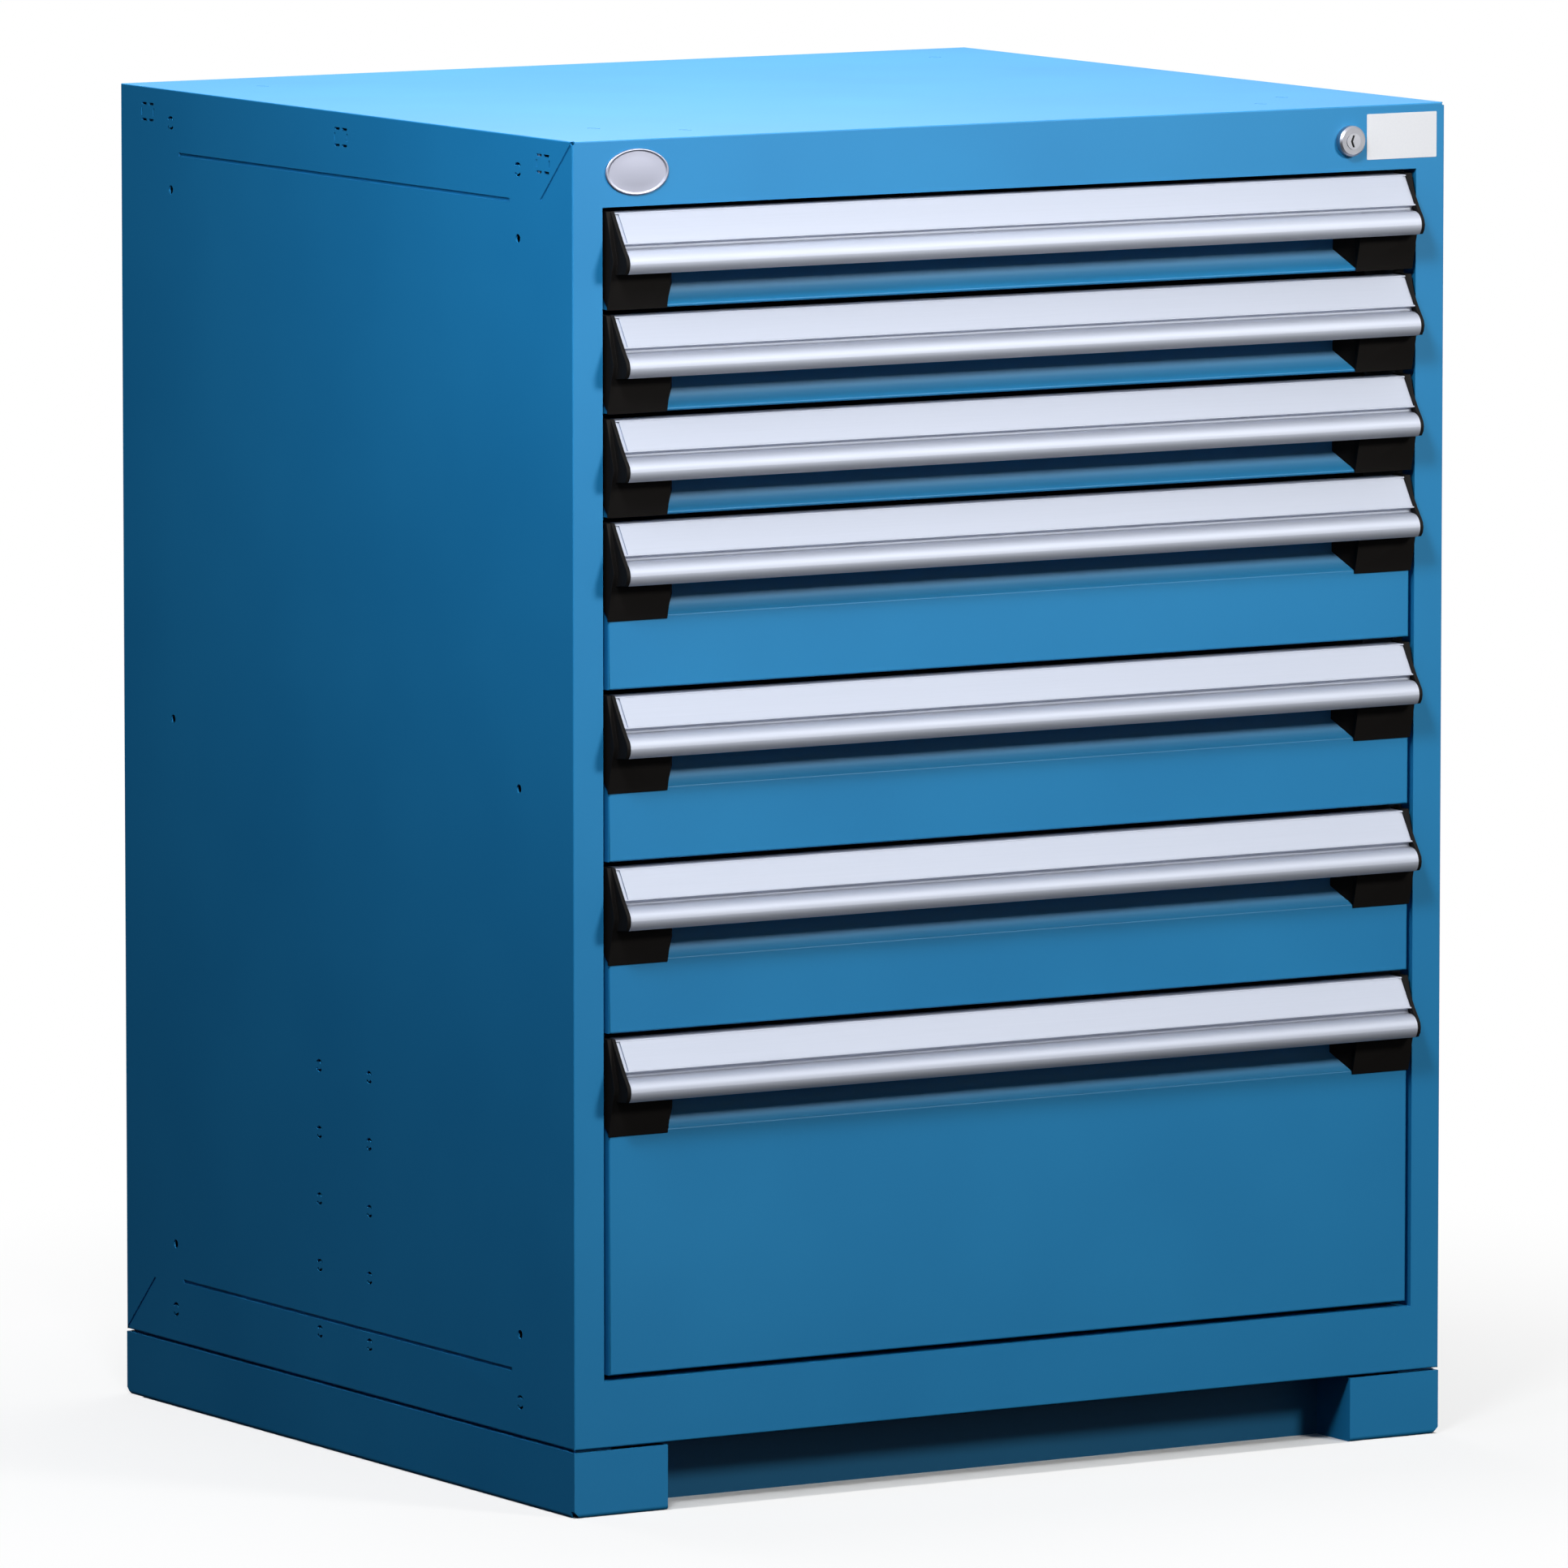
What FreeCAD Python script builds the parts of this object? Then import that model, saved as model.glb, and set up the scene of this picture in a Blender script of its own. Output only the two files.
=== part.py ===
import FreeCAD, Part
import math
import os

import Sketcher

# A heavy-duty steel drawer cabinet on a low base: seven full-extension drawers with aluminium
# handles, roller slides hung on slotted posts, and one lock that works a bar behind the front.
# Millimetres.  X runs to the right, Y to the back, Z up; the origin is on the floor, under the
# middle of the cabinet's bounding box.

# Heights of the drawers from the top down, in steps of the posts' slots.
DRAWER_STEPS = [3, 3, 3, 5, 5, 5, 10]
ROUND_SIDES = 8
BADGE_SIDES = 28

SIZES = {
    # Housing of folded sheet
    "housing_width": 762.0,
    "housing_depth": 685.8,
    "sheet": 1.5,
    "stile_width": 25.4,
    "rail_height": 49.2,
    "return_depth": 16.5,
    "rear_flange": 20.0,
    "bend_radius": 1.2,
    "seam_edge": 48.6,
    "seam_inset": 91.4,
    "seam_width": 1.4,
    "seam_depth": 0.6,
    "corner_seam": 45.7,
    "gang_inset": 79.2,
    "gang_edge": 76.2,
    "gang_hole": 3.3,
    # Base
    "base_height": 50.8,
    "base_sheet": 2.0,
    "base_shadow": 2.0,
    "foot_width": 80.0,
    "toe_setback": 46.0,
    "toe_height": 42.0,
    "base_flange": 32.0,
    "base_chamfer": 5.0,
    # Drawer fronts
    "step_height": 25.4,
    "front_gap": 3.2,
    "side_gap": 3.5,
    "front_depth": 16.0,
    "front_lip": 3.0,
    "recess_depth": 13.0,
    "recess_rise": 14.0,
    # Handle extrusion
    "nose_reach": 23.2,
    "nose_drop": 37.5,
    "nose_radius": 10.0,
    "face_run": 15.0,
    "face_drop": 23.4,
    "handle_wall": 1.8,
    "cap_width": 6.6,
    "label_depth": 1.4,
    "label_sheet": 1.0,
    "label_margin": 3.0,
    # Moulded end caps
    "cap_rim": 3.1,
    "cap_nose": 9.8,
    "cap_reach": 51.0,
    "cap_lap": 2.4,
    "cap_draft": 12.0,
    # Tray
    "tray_sheet": 1.5,
    "tray_foot": 5.0,
    "tray_head": 8.0,
    "tray_space": 42.0,
    # Slides
    "post_depth": 30.0,
    "post_width": 36.0,
    "post_flange": 12.0,
    "post_sheet": 2.0,
    "slot_width": 5.0,
    "slot_height": 13.0,
    "hook_height": 5.0,
    "hook_thick": 3.0,
    "hook_play": 0.3,
    "roller_radius": 14.0,
    "roller_play": 0.3,
    "roller_width": 13.5,
    "rail_sheet": 2.0,
    "rail_width": 16.0,
    "rail_start": 32.0,
    "rail_space": 34.0,
    "web_sheet": 3.0,
    "web_play": 2.5,
    "web_height": 24.0,
    "roller_inset": 26.0,
    "roller_spread": 230.0,
    # Lock
    "lock_side": 85.8,
    "lock_drop": 26.0,
    "lock_face": 11.5,
    "lock_proud": 6.0,
    "barrel_radius": 9.5,
    "plug_radius": 6.0,
    "plug_play": 0.08,
    "key_slot": 1.8,
    "crank_throw": 8.5,
    "crank_pin": 2.5,
    "bar_width": 14.0,
    "bar_sheet": 3.0,
    "bar_inset": 8.0,
    "bar_play": 0.5,
    "bar_travel": 12.0,
    "catch_drop": 12.0,
    "catch_depth": 9.0,
    # Plates on the top rail
    "badge_width": 53.7,
    "badge_height": 34.0,
    "badge_inset": 54.5,
    "badge_drop": 24.0,
    "badge_sheet": 1.5,
    "card_width": 62.6,
    "card_height": 30.0,
    "card_inset": 38.7,
    "card_drop": 26.0,
    "card_sheet": 0.3,
}


class Size:
    """A length that carries the spreadsheet formula it comes from."""

    def __init__(self, value, formula):
        self.value = value
        self.formula = formula

    def __add__(self, other):
        other = as_size(other)
        return Size(self.value + other.value, f"({self.formula} + {other.formula})")

    def __sub__(self, other):
        other = as_size(other)
        return Size(self.value - other.value, f"({self.formula} - {other.formula})")

    def __mul__(self, other):
        other = as_size(other)
        return Size(self.value * other.value, f"({self.formula} * {other.formula})")

    def __truediv__(self, other):
        other = as_size(other)
        return Size(self.value / other.value, f"({self.formula} / {other.formula})")

    def __neg__(self):
        return self * -1

    __radd__ = __add__
    __rmul__ = __mul__


def as_size(item):
    """Any plain number as a Size."""
    return item if isinstance(item, Size) else Size(float(item), f"({float(item)!r})")


class Named:
    """The cells of the sheet as Size values, one attribute each."""


doc = FreeCAD.newDocument("drawer_cabinet")
sizes = doc.addObject("Spreadsheet::Sheet", "sizes")
S = Named()
for row, (alias, number) in enumerate(SIZES.items(), start=1):
    sizes.set(f"A{row}", alias)
    sizes.set(f"B{row}", str(number))
    sizes.setAlias(f"B{row}", alias)
    setattr(S, alias, Size(number, f"sizes.{alias}"))
doc.recompute()

# ---------------------------------------------------------------------------------------------
# Places that several pieces share
# ---------------------------------------------------------------------------------------------
ZERO = as_size(0)
STEPS = sum(DRAWER_STEPS)
opening_height = S.step_height * STEPS + S.front_gap
housing_height = opening_height + S.rail_height * 2
half_width = S.housing_width / 2
half_opening = half_width - S.stile_width
front_y = (S.nose_reach - S.housing_depth) / 2
front_half = half_opening - S.side_gap
handle_half = front_half - S.cap_width
handle_zone = S.step_height * 3 - S.front_gap - S.front_lip

# Stack of each slide, measured from the side panel's outer face towards the tray.
rail_side = S.sheet + S.post_depth
rail_mouth = rail_side + S.rail_width
web_side = rail_mouth + S.web_play
web_end = web_side + S.web_sheet
tray_rail_mouth = web_end + S.web_play
tray_rail_side = tray_rail_mouth + S.rail_width + S.rail_sheet
tray_half = half_width - tray_rail_side
rail_half = S.roller_radius + S.roller_play + S.rail_sheet
rail_level = S.tray_foot + rail_half
rail_end = S.housing_depth - S.rail_space

# Lock bar, behind the returns of the stile.
bar_front = S.return_depth + S.bar_play
bar_back = bar_front + S.bar_sheet
bar_outer = half_width - S.bar_inset
bar_inner = bar_outer - S.bar_width
lock_x = half_width - S.lock_side
lock_z = housing_height - S.lock_drop
crank_offset = S.crank_throw * math.sqrt(0.5)


def steps_above(number):
    """Slot steps between the opening's top and drawer number (1 is the top one)."""
    return sum(DRAWER_STEPS[: number - 1])


def front_top(number):
    """Height of a drawer front's top edge above the housing's underside."""
    return housing_height - S.rail_height - S.front_gap - S.step_height * steps_above(number)


def front_height(number):
    return S.step_height * DRAWER_STEPS[number - 1] - S.front_gap


# ---------------------------------------------------------------------------------------------
# Sketches and features
# ---------------------------------------------------------------------------------------------
def new_body(name, level=None):
    """A body whose origin is in the plane of the housing's front, at a height above the floor."""
    body = doc.addObject("PartDesign::Body", name)
    body.Label = name
    body.AllowCompound = True
    level = S.base_height if level is None else level
    body.Placement = FreeCAD.Placement(
        FreeCAD.Vector(0, front_y.value, level.value), FreeCAD.Rotation()
    )
    body.setExpression("Placement.Base.y", front_y.formula)
    body.setExpression("Placement.Base.z", level.formula)
    return body


def arc_through(start, end, radius, turn):
    """The short arc from start to end; turn is 1 for counter-clockwise travel, -1 for clockwise."""
    middle = (start + end) / 2
    chord = end - start
    rise = math.sqrt(radius * radius - chord.Length * chord.Length / 4)
    left = FreeCAD.Vector(-chord.y, chord.x, 0).normalize()
    centre = middle + left * (rise * turn)
    first, last = (start, end) if turn > 0 else (end, start)
    angles = [math.atan2(p.y - centre.y, p.x - centre.x) for p in (first, last)]
    if angles[1] < angles[0]:
        angles[1] += 2 * math.pi
    circle = Part.Circle(centre, FreeCAD.Vector(0, 0, 1), radius)
    return Part.ArcOfCircle(circle, angles[0], angles[1])


def fix(sketch, kind, geometry, point, size):
    """Holds one coordinate of a point of the sketch at a size."""
    index = sketch.addConstraint(Sketcher.Constraint(kind, -1, 1, geometry, point, size.value))
    sketch.setExpression(f"Constraints[{index}]", size.formula)


def fix_radius(sketch, geometry, size):
    index = sketch.addConstraint(Sketcher.Constraint("Radius", geometry, size.value))
    sketch.setExpression(f"Constraints[{index}]", size.formula)


def add_outline(sketch, corners):
    """A closed outline.  A corner is (across, up), or (across, up, radius, turn) before an arc."""
    places = [[as_size(item) for item in corner[:2]] for corner in corners]
    points = [FreeCAD.Vector(across.value, up.value, 0) for across, up in places]
    edges = []
    for index, corner in enumerate(corners):
        start, end = points[index], points[(index + 1) % len(points)]
        if len(corner) == 4:
            radius, turn = as_size(corner[2]), corner[3]
            edge = sketch.addGeometry(arc_through(start, end, radius.value, turn))
            edges.append((edge, 1 if turn > 0 else 2))
            fix_radius(sketch, edge, radius)
        else:
            edge = sketch.addGeometry(Part.LineSegment(start, end))
            edges.append((edge, 1))
    for index, (edge, point) in enumerate(edges):
        following, near = edges[(index + 1) % len(edges)]
        sketch.addConstraint(Sketcher.Constraint("Coincident", edge, 3 - point, following, near))
        fix(sketch, "DistanceX", edge, point, places[index][0])
        fix(sketch, "DistanceY", edge, point, places[index][1])


def add_circle(sketch, across, up, radius):
    across, up, radius = (as_size(item) for item in (across, up, radius))
    centre = FreeCAD.Vector(across.value, up.value, 0)
    edge = sketch.addGeometry(Part.Circle(centre, FreeCAD.Vector(0, 0, 1), radius.value))
    fix(sketch, "DistanceX", edge, 3, across)
    fix(sketch, "DistanceY", edge, 3, up)
    fix_radius(sketch, edge, radius)


def draw(body, name, plane, outlines, start):
    """A sketch parallel to one of the body's planes, start away from it along the world axis."""
    sketch = body.newObject("Sketcher::SketchObject", name)
    role = f"{plane}_Plane"
    support = next(item for item in body.Origin.OriginFeatures if item.Role == role)
    sketch.AttachmentSupport = [(support, "")]
    sketch.MapMode = "FlatFace"
    lift = -start if plane == "XZ" else start
    sketch.AttachmentOffset = FreeCAD.Placement(
        FreeCAD.Vector(0, 0, lift.value), FreeCAD.Rotation()
    )
    sketch.setExpression("AttachmentOffset.Base.z", lift.formula)
    for outline in outlines:
        if isinstance(outline[0], tuple):
            add_outline(sketch, outline)
        else:
            add_circle(sketch, *outline)
    return sketch


def extrude(kind, body, name, plane, outlines, start, length):
    """A Pad or Pocket from start along the world axis, or centred on the plane if start is None."""
    centred = start is None
    sketch = draw(body, f"{name}_sketch", plane, outlines, ZERO if centred else as_size(start))
    feature = body.newObject(f"PartDesign::{kind}", name)
    feature.Profile = sketch
    length = as_size(length)
    feature.Length = length.value
    feature.setExpression("Length", length.formula)
    feature.SideType = "Symmetric" if centred else "One side"
    along_normal = kind == "Pad"
    feature.Reversed = along_normal if plane == "XZ" else not along_normal
    sketch.Visibility = False
    return feature


def pad(body, name, plane, outlines, start, length):
    return extrude("Pad", body, name, plane, outlines, start, length)


def pocket(body, name, plane, outlines, start, length):
    return extrude("Pocket", body, name, plane, outlines, start, length)


def box_outline(low, high):
    """A rectangle between two opposite corners."""
    return [(low[0], low[1]), (high[0], low[1]), (high[0], high[1]), (low[0], high[1])]


def ring_outline(across, up, radius, sides):
    """A regular polygon round a point, with a corner on its near side."""
    turns = [2 * math.pi * index / sides for index in range(sides)]
    return [(across - radius * math.cos(turn), up - radius * math.sin(turn)) for turn in turns]


def repeat(body, name, feature, axis, count, pitch):
    """Copies a feature along one of the body's axes."""
    pattern = body.newObject("PartDesign::LinearPattern", name)
    role = f"{axis}_Axis"
    direction = next(item for item in body.Origin.OriginFeatures if item.Role == role)
    pattern.Originals = [feature]
    pattern.Direction = (direction, [""])
    length = pitch * (count - 1)
    pattern.Length = length.value
    pattern.setExpression("Length", length.formula)
    pattern.Occurrences = count
    body.Tip = pattern
    return pattern


def soften(body, name, kind, size, wanted):
    """Fillets or chamfers the edges of the body's tip that the test wanted accepts."""
    doc.recompute()
    tip = body.Tip
    edges = [
        f"Edge{index}"
        for index, edge in enumerate(tip.Shape.Edges, start=1)
        if wanted(edge.CenterOfMass, edge)
    ]
    feature = body.newObject(f"PartDesign::{kind}", name)
    feature.Base = (tip, edges)
    dimension = "Radius" if kind == "Fillet" else "Size"
    setattr(feature, dimension, size.value)
    feature.setExpression(dimension, size.formula)
    return feature


def near(first, second):
    return abs(first - as_size(second).value) < 0.01


def along(edge, axis):
    """True for a straight edge that runs along a world axis."""
    if not isinstance(edge.Curve, Part.Line):
        return False
    return abs(getattr(edge.tangentAt(edge.FirstParameter), axis)) > 0.999


def mirrored(name, source):
    """The opposite-hand copy of an object, across the cabinet's middle plane."""
    mirror = doc.addObject("Part::Mirroring", name)
    mirror.Source = source
    mirror.Normal = FreeCAD.Vector(1, 0, 0)
    return mirror


def group(name, members):
    """One node made of several separate solids."""
    compound = doc.addObject("Part::Compound", name)
    compound.Label = name
    compound.Links = members
    return compound


def both_sides(name, body):
    """One node with a left-hand piece and its opposite hand."""
    return group(name, [body, mirrored(f"{name}_opposite", body)])


# ---------------------------------------------------------------------------------------------
# Housing: side, top, floor and back sheets
# ---------------------------------------------------------------------------------------------
def side_panel(name, side):
    """A folded side with its front stile; side is -1 for the left and 1 for the right."""

    def x(inset):
        return (half_width - inset) * side

    body = new_body(name)
    section = [
        (x(0), 0),
        (x(S.stile_width), 0),
        (x(S.stile_width), S.return_depth),
        (x(S.stile_width - S.sheet), S.return_depth),
        (x(S.stile_width - S.sheet), S.sheet),
        (x(S.sheet), S.sheet),
        (x(S.sheet), S.housing_depth - S.sheet),
        (x(S.rear_flange), S.housing_depth - S.sheet),
        (x(S.rear_flange), S.housing_depth),
        (x(0), S.housing_depth),
    ]
    pad(body, f"{name}_fold", "XY", [section], 0, housing_height)
    notch = box_outline(
        (x(S.sheet), -S.sheet), (x(S.stile_width + S.sheet), S.housing_depth + S.sheet)
    )
    pocket(body, f"{name}_top_notch", "XY", [notch], housing_height - S.sheet, S.sheet)
    pocket(body, f"{name}_floor_notch", "XY", [notch], 0, S.sheet)
    cut_side_marks(body, name, side)
    soften(
        body,
        f"{name}_bends",
        "Fillet",
        S.bend_radius,
        lambda place, edge: is_side_bend(place, edge, side),
    )
    if side > 0:
        add_bar_guides(body, name)
    return body


def is_side_bend(place, edge, side):
    """The upright outer bends of a side panel, and its long top edge."""
    if not near(place.x, half_width.value * side):
        return False
    if along(edge, "z"):
        tall = edge.Length > housing_height.value / 2
        return tall and (near(place.y, 0) or near(place.y, S.housing_depth))
    return along(edge, "y") and near(place.z, housing_height)


def cut_side_marks(body, name, side):
    """Shallow seams in the outer face, and the six holes that join cabinets side by side."""
    start = -half_width if side < 0 else half_width - S.seam_depth
    depth = S.housing_depth
    half = S.seam_width / 2
    levels = [S.seam_edge, housing_height - S.seam_edge]
    seams = [
        box_outline((S.seam_inset, level - half), (depth - S.seam_inset, level + half))
        for level in levels
    ]
    tip = S.corner_seam
    inset = S.bend_radius * 2
    width = S.seam_width
    seams.append(
        [
            (inset, housing_height - inset),
            (inset + width, housing_height - inset),
            (tip + width, housing_height - tip),
            (tip, housing_height - tip),
        ]
    )
    seams.append(
        [
            (depth - inset, inset),
            (depth - inset - width, inset),
            (depth - tip - width, tip),
            (depth - tip, tip),
        ]
    )
    pocket(body, f"{name}_seams", "YZ", seams, start, S.seam_depth)
    columns = [S.gang_inset, depth - S.gang_inset]
    rows = [S.gang_edge, housing_height / 2, housing_height - S.gang_edge]
    holes = [(column, level, S.gang_hole) for column in columns for level in rows]
    inner = -half_width if side < 0 else half_width - S.sheet
    pocket(body, f"{name}_gang_holes", "YZ", holes, inner, S.sheet)


def add_bar_guides(body, name):
    """Two welded loops that hold the lock bar against the stile."""
    wall = S.sheet
    slack = S.bar_play
    for order, drawer in enumerate((2, 5), start=1):
        level = front_top(drawer) - S.step_height * 2.5
        loop = box_outline(
            (bar_inner - slack - wall, S.return_depth - wall),
            (half_width - S.sheet, bar_back + slack + wall),
        )
        hole = box_outline(
            (bar_inner - slack, bar_front - slack / 2), (bar_outer + slack, bar_back + slack)
        )
        pad(body, f"{name}_guide_{order}", "XY", [loop, hole], level, S.hook_height * 2)


def shell_pan(name, up):
    """The top (up = 1) or floor (up = -1): a sheet with a front rail, its return and a rear edge."""

    def z(height):
        return housing_height - height if up > 0 else height

    body = new_body(name)
    depth = S.housing_depth
    section = [
        (0, z(ZERO)),
        (depth, z(ZERO)),
        (depth, z(S.rear_flange)),
        (depth - S.sheet, z(S.rear_flange)),
        (depth - S.sheet, z(S.sheet)),
        (S.sheet, z(S.sheet)),
        (S.sheet, z(S.rail_height - S.sheet)),
        (S.return_depth, z(S.rail_height - S.sheet)),
        (S.return_depth, z(S.rail_height)),
        (0, z(S.rail_height)),
    ]
    pad(body, f"{name}_fold", "YZ", [section], None, half_opening * 2)
    sheet = box_outline((0, z(ZERO)), (depth, z(S.sheet)))
    pad(body, f"{name}_sheet", "YZ", [sheet], None, S.housing_width - S.sheet * 2)
    if up > 0:
        hole = ring_outline(lock_x, lock_z, S.barrel_radius + S.plug_play, ROUND_SIDES)
        pocket(body, f"{name}_lock_hole", "XZ", [hole], 0, S.sheet)
    bend_z = z(ZERO)
    soften(
        body,
        f"{name}_bends",
        "Fillet",
        S.bend_radius,
        lambda place, edge: along(edge, "x") and near(place.y, 0) and near(place.z, bend_z),
    )
    return body


def back_panel():
    body = new_body("back_panel")
    half = half_width - S.sheet
    outline = box_outline((-half, S.sheet), (half, housing_height - S.sheet))
    start = S.housing_depth - S.sheet * 2
    pad(body, "back_sheet", "XZ", [outline], start, S.sheet)
    return body


# ---------------------------------------------------------------------------------------------
# Slotted posts and the rails hooked into them
# ---------------------------------------------------------------------------------------------
def slide_post(name, centre):
    """A hat-section post on the left side sheet, slotted at every step of its inner face."""
    body = new_body(name)
    near_side = S.sheet - half_width
    web = rail_side - half_width
    thick = S.post_sheet
    half = S.post_width / 2
    wide = half + S.post_flange
    section = [
        (near_side, centre - wide),
        (near_side + thick, centre - wide),
        (near_side + thick, centre - half),
        (web, centre - half),
        (web, centre + half),
        (near_side + thick, centre + half),
        (near_side + thick, centre + wide),
        (near_side, centre + wide),
        (near_side, centre + half - thick),
        (web - thick, centre + half - thick),
        (web - thick, centre - half + thick),
        (near_side, centre - half + thick),
    ]
    pad(body, f"{name}_hat", "XY", [section], S.sheet, housing_height - S.sheet * 2)
    low = S.rail_height + S.front_gap + rail_level
    slot = box_outline(
        (centre - S.slot_width / 2, low), (centre + S.slot_width / 2, low + S.slot_height)
    )
    first = pocket(body, f"{name}_slot", "YZ", [slot], web - thick, thick)
    repeat(body, f"{name}_slots", first, "Z", STEPS, S.step_height)
    return body


def slide_posts():
    posts = [
        slide_post("post_front", S.gang_inset),
        slide_post("post_rear", S.housing_depth - S.gang_inset),
    ]
    hands = [mirrored(f"{post.Name}_opposite", post) for post in posts]
    return group("slide_posts", posts + hands)


def channel(outer, web_thick, mouth, half):
    """A C section in X and Z: web at outer, open towards mouth, flanges at plus and minus half."""
    inner = half - S.rail_sheet
    return [
        (outer, -half),
        (mouth, -half),
        (mouth, -inner),
        (web_thick, -inner),
        (web_thick, inner),
        (mouth, inner),
        (mouth, half),
        (outer, half),
    ]


def rail_centre(number):
    """Height of a drawer's slides above the floor."""
    return S.base_height + front_top(number) - front_height(number) + rail_level


def fixed_rail(number):
    """A C rail that hangs on both left posts by hooks turned down behind their slots."""
    body = new_body(f"fixed_rail_{number}", rail_centre(number))
    outer = rail_side - half_width
    section = channel(outer, outer + S.rail_sheet, rail_mouth - half_width, rail_half)
    length = rail_end - S.rail_start
    pad(body, f"fixed_rail_{number}_channel", "XZ", [section], S.rail_start, length)
    leg_end = outer - S.post_sheet - S.hook_play
    leg_start = leg_end - S.rail_sheet
    hook = [
        (outer, 0),
        (outer, S.hook_height),
        (leg_start, S.hook_height),
        (leg_start, -S.hook_height),
        (leg_end, -S.hook_height),
        (leg_end, 0),
    ]
    for order, centre in enumerate((S.gang_inset, S.housing_depth - S.gang_inset), start=1):
        start = centre - S.hook_thick / 2
        pad(body, f"fixed_rail_{number}_hook_{order}", "XZ", [hook], start, S.hook_thick)
    return body


def fixed_rails():
    rails = [fixed_rail(number) for number in range(1, len(DRAWER_STEPS) + 1)]
    hands = [mirrored(f"{rail.Name}_opposite", rail) for rail in rails]
    return group("fixed_rails", rails + hands)


def carriage(number):
    """The middle member of a slide: a web with two rollers in each of the rails beside it.

    The rollers are cut as many-sided prisms, which keeps this often repeated piece light.
    """
    name = f"carriage_{number}"
    body = new_body(f"{name}_left", rail_centre(number))
    start = web_side - half_width
    half = S.web_height / 2
    front, back = S.rail_start + S.rail_sheet, rail_end - S.rail_sheet
    web = box_outline((front, -half), (back, half))
    pad(body, f"{name}_web", "YZ", [web], start, S.web_sheet)
    soften(
        body,
        f"{name}_web_corners",
        "Chamfer",
        half / 3,
        lambda place, edge: along(edge, "x"),
    )
    near_front, near_back = front + S.roller_inset, back - S.roller_inset
    banks = [
        ("outer", start - S.roller_width, (near_back - S.roller_spread, near_back)),
        ("inner", start + S.web_sheet, (near_front, near_front + S.roller_spread)),
    ]
    for bank, face, places in banks:
        rollers = [ring_outline(place, ZERO, S.roller_radius, ROUND_SIDES) for place in places]
        pad(body, f"{name}_{bank}_rollers", "YZ", rollers, face, S.roller_width)
    return both_sides(name, body)


# ---------------------------------------------------------------------------------------------
# Drawers
# ---------------------------------------------------------------------------------------------
def drawer_level(number):
    return S.base_height + front_top(number)


def drawer_body(number):
    """Tray and front welded as one; the front is a pan with a sloped finger recess at its top."""
    name = f"drawer_{number}_body"
    body = new_body(name, drawer_level(number))
    low = -front_height(number)
    deep, back, thin = S.recess_depth, S.front_depth, S.sheet
    sill = S.recess_rise - handle_zone
    front = [
        (0, low),
        (0, -handle_zone),
        (deep, sill),
        (deep, -thin),
        (back, -thin),
        (back, low),
    ]
    pad(body, f"{name}_front", "YZ", [front], None, front_half * 2)
    hollow = [
        (thin, low + thin),
        (thin, -handle_zone - thin / 2),
        (deep + thin, sill - thin / 2),
        (deep + thin, -thin * 2),
        (back + thin, -thin * 2),
        (back + thin, low + thin),
    ]
    pocket(body, f"{name}_front_hollow", "YZ", [hollow], None, front_half * 2 - thin * 2)
    wall = S.tray_sheet
    tray_low, tray_high = low + S.tray_foot, -S.tray_head
    tray_end = S.housing_depth - S.tray_space
    tray_start = deep + thin
    tray = box_outline((tray_start, tray_low), (tray_end, tray_high))
    pad(body, f"{name}_tray", "YZ", [tray], None, tray_half * 2)
    inside = box_outline(
        (tray_start + wall, tray_low + wall), (tray_end - wall, tray_high + wall)
    )
    pocket(body, f"{name}_tray_inside", "YZ", [inside], None, tray_half * 2 - wall * 2)
    soften(
        body,
        f"{name}_recess_bend",
        "Fillet",
        S.bend_radius,
        lambda place, edge: along(edge, "x")
        and near(place.y, 0)
        and near(place.z, -handle_zone),
    )
    return body


def drawer_catch(number):
    """The hook that the lock bar's finger holds, fixed behind the front at its right end."""
    name = f"drawer_{number}_catch"
    body = new_body(name, drawer_level(number))
    start = S.recess_depth + S.sheet
    lip_start = bar_back + S.hook_height
    lip_end = lip_start + S.post_sheet
    top = -S.catch_drop + S.post_sheet
    hook = [
        (start, top),
        (lip_end, top),
        (lip_end, -S.catch_drop - S.catch_depth),
        (lip_start, -S.catch_drop - S.catch_depth),
        (lip_start, -S.catch_drop),
        (start, -S.catch_drop),
    ]
    width = S.hook_height + S.hook_thick
    pad(body, f"{name}_hook", "YZ", [hook], front_half - S.sheet - width, width)
    return body


def face_point(share, setback):
    """A point of the handle's sloping face, share of the way down it and setback behind it."""
    return (setback - S.face_run * share, -S.face_drop * share)


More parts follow.
